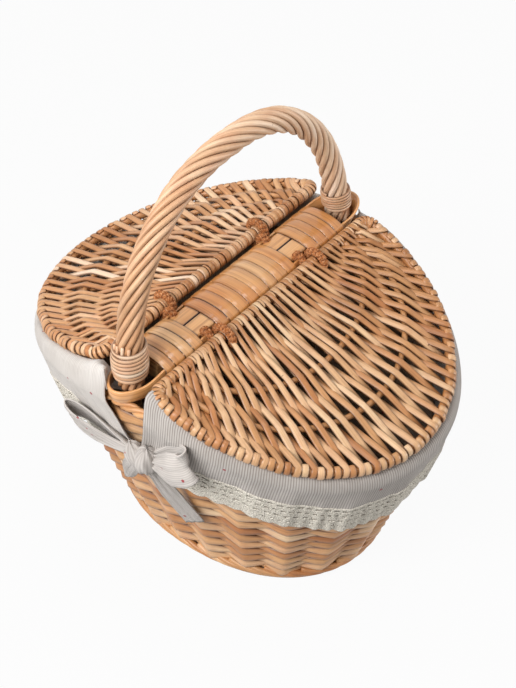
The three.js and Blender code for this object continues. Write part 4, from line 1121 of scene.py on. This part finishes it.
def make_knot(name, spin):
    """Two lobes of the tied strap, side by side."""
    knot_at = bow_line(-BOW_SHIFT, BOW_Z - 1, 13.0)
    # Middle, half sizes, lean and phase of the swelling of each lobe
    lobes = (((-1.0, -6.5, 1.0), (9.0, 9.0, 15.0), 0.15, 0.0),
             ((1.0, 7.0, -2.5), (8.0, 8.6, 12.0), -0.35, 2.0))
    p = np.linspace(0.02, math.pi - 0.02, 34)[:, None]
    q = np.linspace(0, TAU, 48, endpoint=False)[None]
    ball = np.stack([np.sin(p) * np.cos(q), np.sin(p) * np.sin(q), np.cos(p) + 0 * q], -1)
    knot = Bundle()
    for middle, half, lean, phase in lobes:
        swell = 1 + 0.05 * np.cos(3 * q + 2 * p + phase) + 0.045 * np.cos(8 * q - 3 * p + phase)
        lobe = ball * half * swell[..., None] @ turn_x(lean).T
        knot.grid((lobe + knot_at + middle) @ spin.T, wrap=True)
    piece = knot.build(f"{name}_knot", LIT_BOW_LINEN, [f"{name}_bow_knot"])


def make_bow(name, turn):
    """Knot, two loops and two tails, turned about the basket's middle to a handle foot."""
    c, s = math.cos(turn), math.sin(turn)
    spin = np.array([[c, -s, 0], [s, c, 0], [0, 0, 1]])

    def strap(part, node, centre, across, width, thickness, crease, curl):
        """Soft strap along a line of centres, with lengthwise creases and its edges curled."""
        w = np.linspace(-1, 1, 17)
        t = unit(np.gradient(centre, axis=0))
        side = unit(across - (t @ across)[:, None] * t)
        run = run_along(centre)
        lift = crease[:, None] * (0.6 * np.cos(2.6 * math.pi * w + 0.7) + 0.4 * np.cos(5.2 * math.pi * w))
        lift = lift + np.broadcast_to(curl, len(centre))[:, None] * w**2
        spread = side[:, None] * (w * width[:, None] / 2)[..., None]
        points = centre[:, None] + spread + np.cross(t, side)[:, None] * lift[..., None]
        bundle = Bundle()
        bundle.sheet(points @ spin.T, thickness, uv_grid(w * 17, run))
        piece = bundle.build(f"{name}_{part}", LIT_BOW_LINEN, [f"{name}_bow_{node}"])

    make_knot(name, spin)
    # Length, rise for each millimetre, half thickness, how far the edges curl in, direction across
    loops = (("rear", 1, 58, 0.05, 7.5, 0.0, (-0.3, 0.0, 1.0)),
             ("front", -1, 40, 0.6, 8.0, -0.5, (0.35, 0.42, 0.85)))
    narrow, wide = 9, 27
    for loop, sense, length, rise, fat, closing, across in loops:
        t = np.linspace(0, 1, 70)
        s = (1 - np.cos(TAU * t)) / 2
        y = -BOW_SHIFT + sense * (8 + length * s)
        spread = np.sin(TAU * t) * (0.3 + 0.7 * s) * fat
        z = BOW_Z + rise * length * s + 1.5 * np.sin(TAU * t)
        centre = bow_line(y, z, 12.5 + 2.5 * s - spread)
        crease = 1.6 * np.exp(-(s / 0.4) ** 2) + 0.5
        width = narrow + (wide - narrow) * np.clip(s * 1.9, 0, 1)
        strap(f"{loop}_loop", f"{loop}_loop", centre, np.array(across), width, 1.1, crease,
              sense * closing * np.abs(spread))

    # At both ends places along the wall, heights, distances from it, widths; direction across, outward curve
    tails = (("long", (-19, -37), (171, 88), (11.5, 8.0), (8, 17), (-0.45, 0.9, 0.0), 1.5),
             ("short", (-12, 12), (174, 120), (11.0, 15.0), (10, 16), (0.0, 0.9, 0.4), 0.6))
    for tail, along, height, out, wide, across, power in tails:
        t = np.linspace(0, 1, 36)
        y, z = (ends[0] + (ends[1] - ends[0]) * t for ends in (along, height))
        offset = out[0] + (out[1] - out[0]) * t**power
        centre = bow_line(y, z, offset + 0.7 * np.sin(5 * t))
        crease = 1.8 * np.exp(-(t / 0.35) ** 2) + 0.3
        width = wide[0] + (wide[1] - wide[0]) * ramp(t, 0, 0.5)
        curl = 2.2 * (1 - t) ** 2
        if tail == "short":
            width = width * np.sqrt(1 - 0.95 * ramp(t, 0.55, 1) ** 2)
            curl = 2.0
        strap(f"{tail}_tie_end", f"{tail}_tail", centre, np.array(across), width, 1.2, crease, curl)


# CAD nodes that stay

def dress_nodes():
    for node in ("handle_core", "bridge_core"):
        materials = bpy.data.objects[node].data.materials
        materials.clear()
        materials.append(INNER_WILLOW)


# Studio

def show_white(nodes, lit, white, share, end):
    """A shader for light, and white for what the camera sees straight, in gloss or through glass."""
    path = nodes.node("ShaderNodeLightPath").outputs
    seen = path["Is Camera Ray"]
    for other in ("Is Glossy Ray", "Is Transmission Ray"):
        seen = nodes.math("MAXIMUM", seen, path[other])
    shown = nodes.math("MULTIPLY", seen, share)
    glow = nodes.node(white, {"Color": WHITE, "Strength": 1.0})
    mix = nodes.node("ShaderNodeMixShader", {0: shown, 1: lit.outputs[0], 2: glow.outputs[0]})
    nodes.node(end, {"Surface": mix.outputs[0]})


def bare_nodes(owner):
    owner.use_nodes = True
    owner.node_tree.nodes.clear()
    return Nodes(owner.node_tree)


def make_studio():
    scene = bpy.context.scene
    scene.view_settings.view_transform = "Standard"
    size, drop, grey, white_share, world_light = 6.0, 0.0005, 0.4, 0.95, 0.3
    floor_mesh = bpy.data.meshes.new("floor")
    corners = [(-size, -size, 0), (size, -size, 0), (size, size, 0), (-size, size, 0)]
    floor_mesh.from_pydata(corners, [], [(0, 1, 2, 3)])
    floor = bpy.data.objects.new("floor", floor_mesh)
    floor.location.z = -drop
    bpy.context.collection.objects.link(floor)
    material = bpy.data.materials.new("floor_white")
    nodes = bare_nodes(material)
    lit = nodes.node("ShaderNodeBsdfDiffuse", {"Color": (grey, grey, grey)})
    show_white(nodes, lit, "ShaderNodeEmission", white_share, "ShaderNodeOutputMaterial")
    floor_mesh.materials.append(material)

    scene.world = bpy.data.worlds.new("studio")
    nodes = bare_nodes(scene.world)
    lit = nodes.node("ShaderNodeBackground", {"Color": WHITE, "Strength": world_light})
    show_white(nodes, lit, "ShaderNodeBackground", 1.0, "ShaderNodeOutputWorld")

    aim = Vector((0, 0, 0.2))
    for name, place, power, width in (
        ("key", (-1.3, -0.2, 1.55), 26, 0.7),
        ("side", (-1.5, 0.45, 1.25), 18, 0.8),
        ("top", (0.4, 0.0, 2.2), 12, 0.9),
        ("right", (1.1, -1.2, 0.32), 11, 0.6),
    ):
        light = bpy.data.lights.new(name, "AREA")
        light.energy = power
        light.size = width
        lamp = bpy.data.objects.new(name, light)
        lamp.location = place
        lamp.rotation_euler = (aim - Vector(place)).to_track_quat("-Z", "Y").to_euler()
        bpy.context.collection.objects.link(lamp)


make_camera()
make_studio()
make_lid("rear", 1, LIT_REAR_WILLOW)
make_lid("front", -1, SHADED_FRONT_WILLOW)
make_wall()
make_foot()
make_rim()
make_base()
make_handle()
make_band()
make_bridge()
make_ties()
make_cuff("front", -1, 5, SHADED_FRONT_LINEN)
make_cuff("rear", 1, 9, LIT_REAR_LINEN)
make_bag()
make_bow("left", 0.0)
make_bow("right", math.pi)
dress_nodes()
